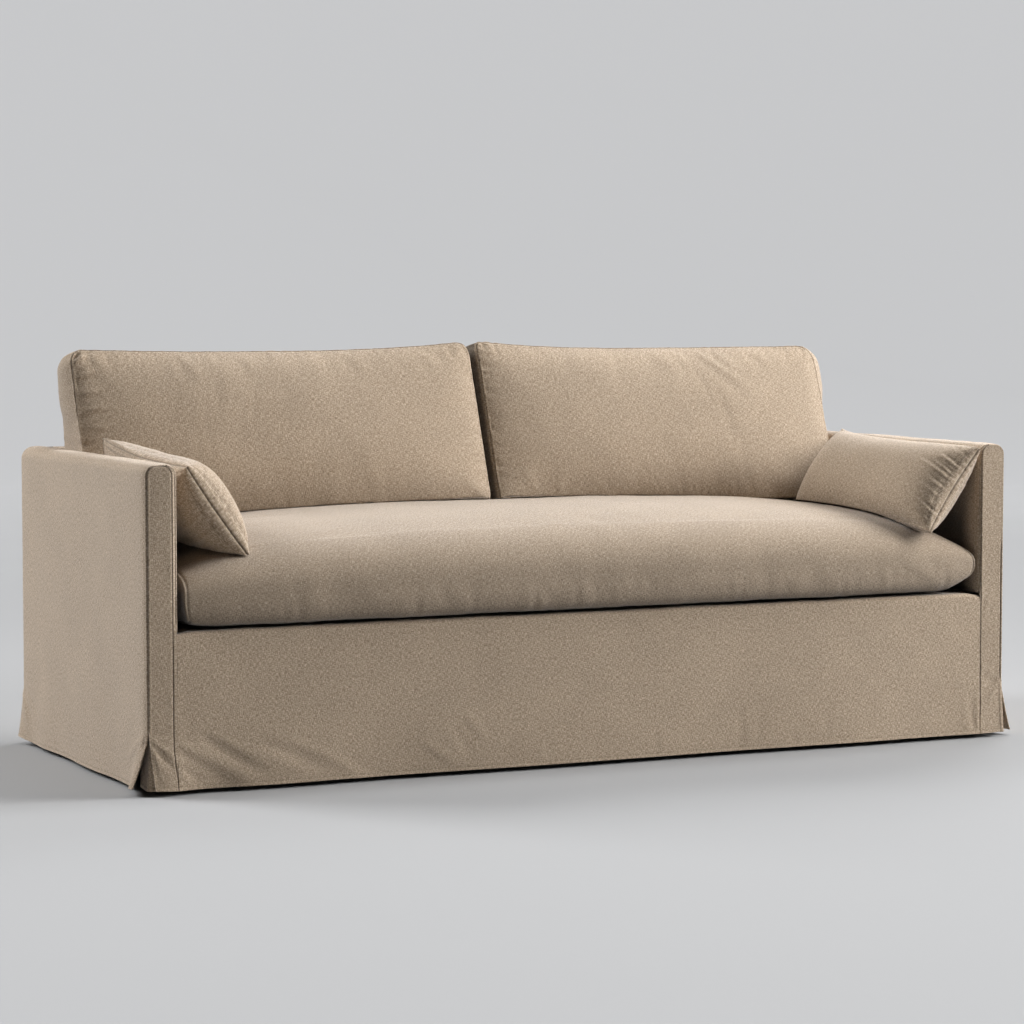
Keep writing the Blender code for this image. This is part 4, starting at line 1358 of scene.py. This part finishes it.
def makeArmPillow(word, side):
    size, lie = armPillow, armPillow["places"][side]
    lean, pitch, yaw = (math.radians(lie[key]) for key in ("lean", "pitch", "yaw"))
    alongAxis = np.array([-math.tan(yaw), 1, math.tan(pitch)])
    alongAxis /= np.linalg.norm(alongAxis)
    upAxis = np.array([math.sin(lean), 0, math.cos(lean)])
    throughAxis = np.cross(alongAxis, upAxis)
    throughAxis /= np.linalg.norm(throughAxis)
    middle = np.array([lie["x"], lie["y"], lie["height"]])

    def rest(points):           # against the arm and on the seat, in the right-hand pillow's terms
        points[:, 0] = np.minimum(points[:, 0], armFaceX - size["clearance"])
        low = seatTop(points[:, 0], points[:, 1]) + size["clearance"]
        points[:, 2] = np.maximum(points[:, 2], low)
        return points

    def shape(spots):
        a, b, c = spots.T
        alongPower, upPower, steepness = size["fullness"]
        swell = np.clip((1 - np.abs(a) ** alongPower) * (1 - np.abs(c) ** upPower), 0, 1) ** steepness
        thickness = size["edge"] + np.where(b > 0, size["crowns"][1], size["crowns"][0]) * swell
        length = a * (size["halfLength"] - size["draw"] * (1 - c * c))
        height = c * (size["halfHeight"] - size["draw"] * (1 - a * a))
        height = height + lie["ear"] * np.clip(a, 0, 1) ** 6 * np.clip(c, 0, 1) ** 4
        points = middle + alongAxis * length[:, None] + upAxis * height[:, None]
        points = rest(points + throughAxis * (b * thickness)[:, None])
        return points * (side, 1, 1) + (0, 0, floorZ)

    halves = (size["halfLength"], 0.003, size["halfHeight"])

    def mapped(spots, quads, walls):
        corner = spots[quads] * halves
        uv = np.stack([corner[..., 0], corner[..., 2] + np.where(walls[:, :1] == 1, 0, corner[..., 1])], -1)
        return uv.reshape(-1, 2) + 15.2 + 1.4 * side

    fine = (0, 0.0010, 0.0022, 0.0037, 0.0056, 0.0082, 0.0120, 0.0170)
    cuts = (cutsFromEnds(2 * size["halfLength"], 0.0064, fine), np.array([-1.0, 0.0, 1.0]),
            cutsFromEnds(2 * size["halfHeight"], 0.0052, fine))
    piece = makeCushion("armPillow_" + word, cuts, shape, mapped)

    def fromSeam(spots):
        a, b, c = spots.T
        flat = np.abs(b) > 0.999
        toEnd, toLong = (1 - np.abs(a)) * size["halfLength"], (1 - np.abs(c)) * size["halfHeight"]
        return np.where(flat, np.minimum(toEnd, toLong), 0), toEnd, toLong

    edge, _, _ = fromSeam(readSpots(piece.data))
    plump(piece, bump(edge, 0.004), size["plump"])
    spots = refine(piece)
    edge, toEnd, toLong = fromSeam(spots)
    a, b, c = spots.T
    seed = 600 + 20 * side
    across = edge + size["edge"] * np.abs(b)
    relief = -0.0022 * bump(across, 0.0012) + 0.0008 * bump(across - 0.0035, 0.0018)
    relief -= 0.0010 * bump(across - 0.0082, 0.0022)
    along, up = a * size["halfLength"], c * size["halfHeight"]
    relief += puckers(up, toEnd, size["endPuckers"], seed) * smoothStep(toLong / 0.012)
    for face in (-1, 1):
        folds = creases(along, up, lie["gathers"][face])
        relief += np.where(b * face > 0.9, size["gatherShare"] * folds, 0)
    relief += puckers(along, toLong, size["longPuckers"], seed + 1) * smoothStep(toEnd / 0.012)
    relief += drape(along, up + b, edge, size["drape"], seed + 2)

    def allowed(points):
        points = rest((points - (0, 0, floorZ)) * (side, 1, 1) + (0, 0, -0.002))
        return points * (side, 1, 1) + (0, 0, floorZ)

    addShade(piece, seamShade(across, 0.7))
    press(piece, relief, allowed)
    settleCushion(piece, "arm_pillow_" + word)


for word, side in (("left", -1), ("right", 1)):
    makeBackCushion(word, side)
    makeArmPillow(word, side)
print("back cushions and pillows made")


# ---- All the stitches, as one piece ----

def makeStitches():
    points = np.concatenate(stitched["points"])
    faces = np.concatenate(stitched["faces"])
    mesh = bpy.data.meshes.new("topstitching")
    mesh.from_pydata(points.tolist(), [], faces.tolist())
    piece = addObject("topstitching", mesh)
    mesh.materials.append(sewingThread)
    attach(piece, "root")


makeStitches()
print("stitches sewn")


# ---- Studio ----

studio = {
    "radius": 12.0,             # round floor that curves up into the wall
    "sides": 96,
    "bend": 2.5,
    "wall": 7.0,
    "near": 4.0,                # floor within this distance throws its light back on the cover
    "floorTone": 0.67,          # how bright the floor and the wall look, 1 is white
    "wallTone": 0.575,
    "paint": (0.17, 0.50),      # darkest and lightest paint, to even out the lamps
    "tint": "#fcfdff",
    "lights": (                 # metres and watts; each looks at the sofa
        {"name": "keyRight", "at": (5.2, -2.6, 2.2), "size": (2.5, 2.5), "power": 350},
        {"name": "highRight", "at": (7.2, -0.8, 6.1), "size": (4.0, 4.0), "power": 790},
        {"name": "backRight", "at": (6.1, 4.8, 4.8), "size": (4.0, 4.0), "power": 330},
        {"name": "backLeft", "at": (-6.1, 4.8, 4.8), "size": (4.0, 4.0), "power": 820},
        {"name": "overhead", "at": (0.0, 0.3, 6.7), "size": (6.4, 3.2), "power": 150},
    ),
}


def lampLight(points, normals):             # brightness that the lamps give white paint
    total = np.zeros(points.shape[:2])
    for row in studio["lights"]:
        place = np.array(row["at"])
        away = points - place
        distance = np.linalg.norm(away, axis=2)
        leaving = -(away @ place) / (distance * np.linalg.norm(place))
        arriving = -(away * normals).sum(2) / distance
        spreading = np.clip(leaving, 0, 1) * np.clip(arriving, 0, 1) / (math.pi * distance) ** 2
        total += row["power"] * spreading
    return total


def mattPaint(name):            # matt emulsion on the studio's floor and wall
    material, tree, shader = newMaterial(name, {
        "Roughness": 0.8, "Specular IOR Level": 0.2, "Emission Color": fromHex(studio["tint"]),
    })
    shade = addNode(tree, "Attribute", {"attribute_name": "paint"})
    glow = addNode(tree, "Attribute", {"attribute_name": "glow"})
    colour = addNode(tree, "VectorMath", {"operation": "SCALE"}, {"Scale": shade.outputs["Fac"]},
                     {"Vector": fromHex(studio["tint"])[:3]})
    tree.links.new(colour.outputs["Vector"], shader.inputs["Base Color"])
    tree.links.new(glow.outputs["Fac"], shader.inputs["Emission Strength"])
    return material


def makeStudio():
    radius, bend = studio["radius"], studio["bend"]
    turns = np.radians(spread(0, 90, 7.5))
    level = np.concatenate([[0.001], np.arange(0.5, 4, 0.5), np.arange(4, radius - bend, 1.0)])
    reach = np.concatenate([level, radius - bend + bend * np.sin(turns), [radius, radius]])
    height = np.concatenate([0 * level, bend * (1 - np.cos(turns)), [4.0, studio["wall"]]])
    angles = np.linspace(0, 2 * math.pi, studio["sides"] + 1)
    points = np.stack([reach[:, None] * np.cos(angles), reach[:, None] * np.sin(angles),
                       floorZ + height[:, None] + 0 * angles], 2)
    lamps = lampLight(points, surfaceNormals(points, -1))
    climb = smoothStep(reach / studio["near"])[:, None]
    tone = studio["floorTone"] + (studio["wallTone"] - studio["floorTone"]) * climb
    paint = np.clip(tone / np.maximum(lamps, 1e-6), *studio["paint"])
    glow = np.maximum(tone - paint * lamps, 0)
    material = mattPaint("mattPaint")
    split = int(np.argmin(np.abs(reach - studio["near"])))
    for name, rows in (("studioFloor", slice(0, split + 1)), ("studioWall", slice(split, None))):
        part = points[rows]
        quads = gridQuads(np.arange(part[..., 0].size).reshape(part.shape[:2]))
        mesh = bpy.data.meshes.new(name)
        mesh.from_pydata(part.reshape(-1, 3).tolist(), [], quads.tolist())
        addValues(mesh, "paint", paint[rows])
        addValues(mesh, "glow", glow[rows])
        mesh.shade_smooth()
        mesh.materials.append(material)
        sweep = addObject(name, mesh)
        sweep.visible_diffuse = name == "studioFloor"       # the wall's glow lights nothing else
        sweep.visible_shadow = name == "studioFloor"
    for row in studio["lights"]:
        data = bpy.data.lights.new(row["name"], "AREA")
        data.shape = "RECTANGLE"
        data.size, data.size_y = row["size"]
        data.energy = row["power"]
        light = addObject(row["name"], data)
        light.location = row["at"]
        light.rotation_euler = (-light.location).to_track_quat("-Z", "Y").to_euler()
        light.visible_camera = False
    world = bpy.data.worlds.new("studioAir")
    world.use_nodes = True
    world.node_tree.nodes["Background"].inputs["Strength"].default_value = 0.0
    scene.world = world


camera = {
    "place": (-3.0289, -6.3606, 0.6835),
    "yaw": 25.391,              # degrees
    "pitch": -4.034,
    "lens": 110.56,
}


def makeCamera():
    data = bpy.data.cameras.new("frontView")
    data.lens = camera["lens"]
    data.sensor_width = 36
    data.clip_end = 60
    view = addObject("frontView", data)
    view.location = camera["place"]
    view.rotation_euler = (math.radians(90 + camera["pitch"]), 0, math.radians(-camera["yaw"]))
    scene.camera = view


makeStudio()
makeCamera()
scene.view_settings.view_transform = "Standard"
print("studio made")
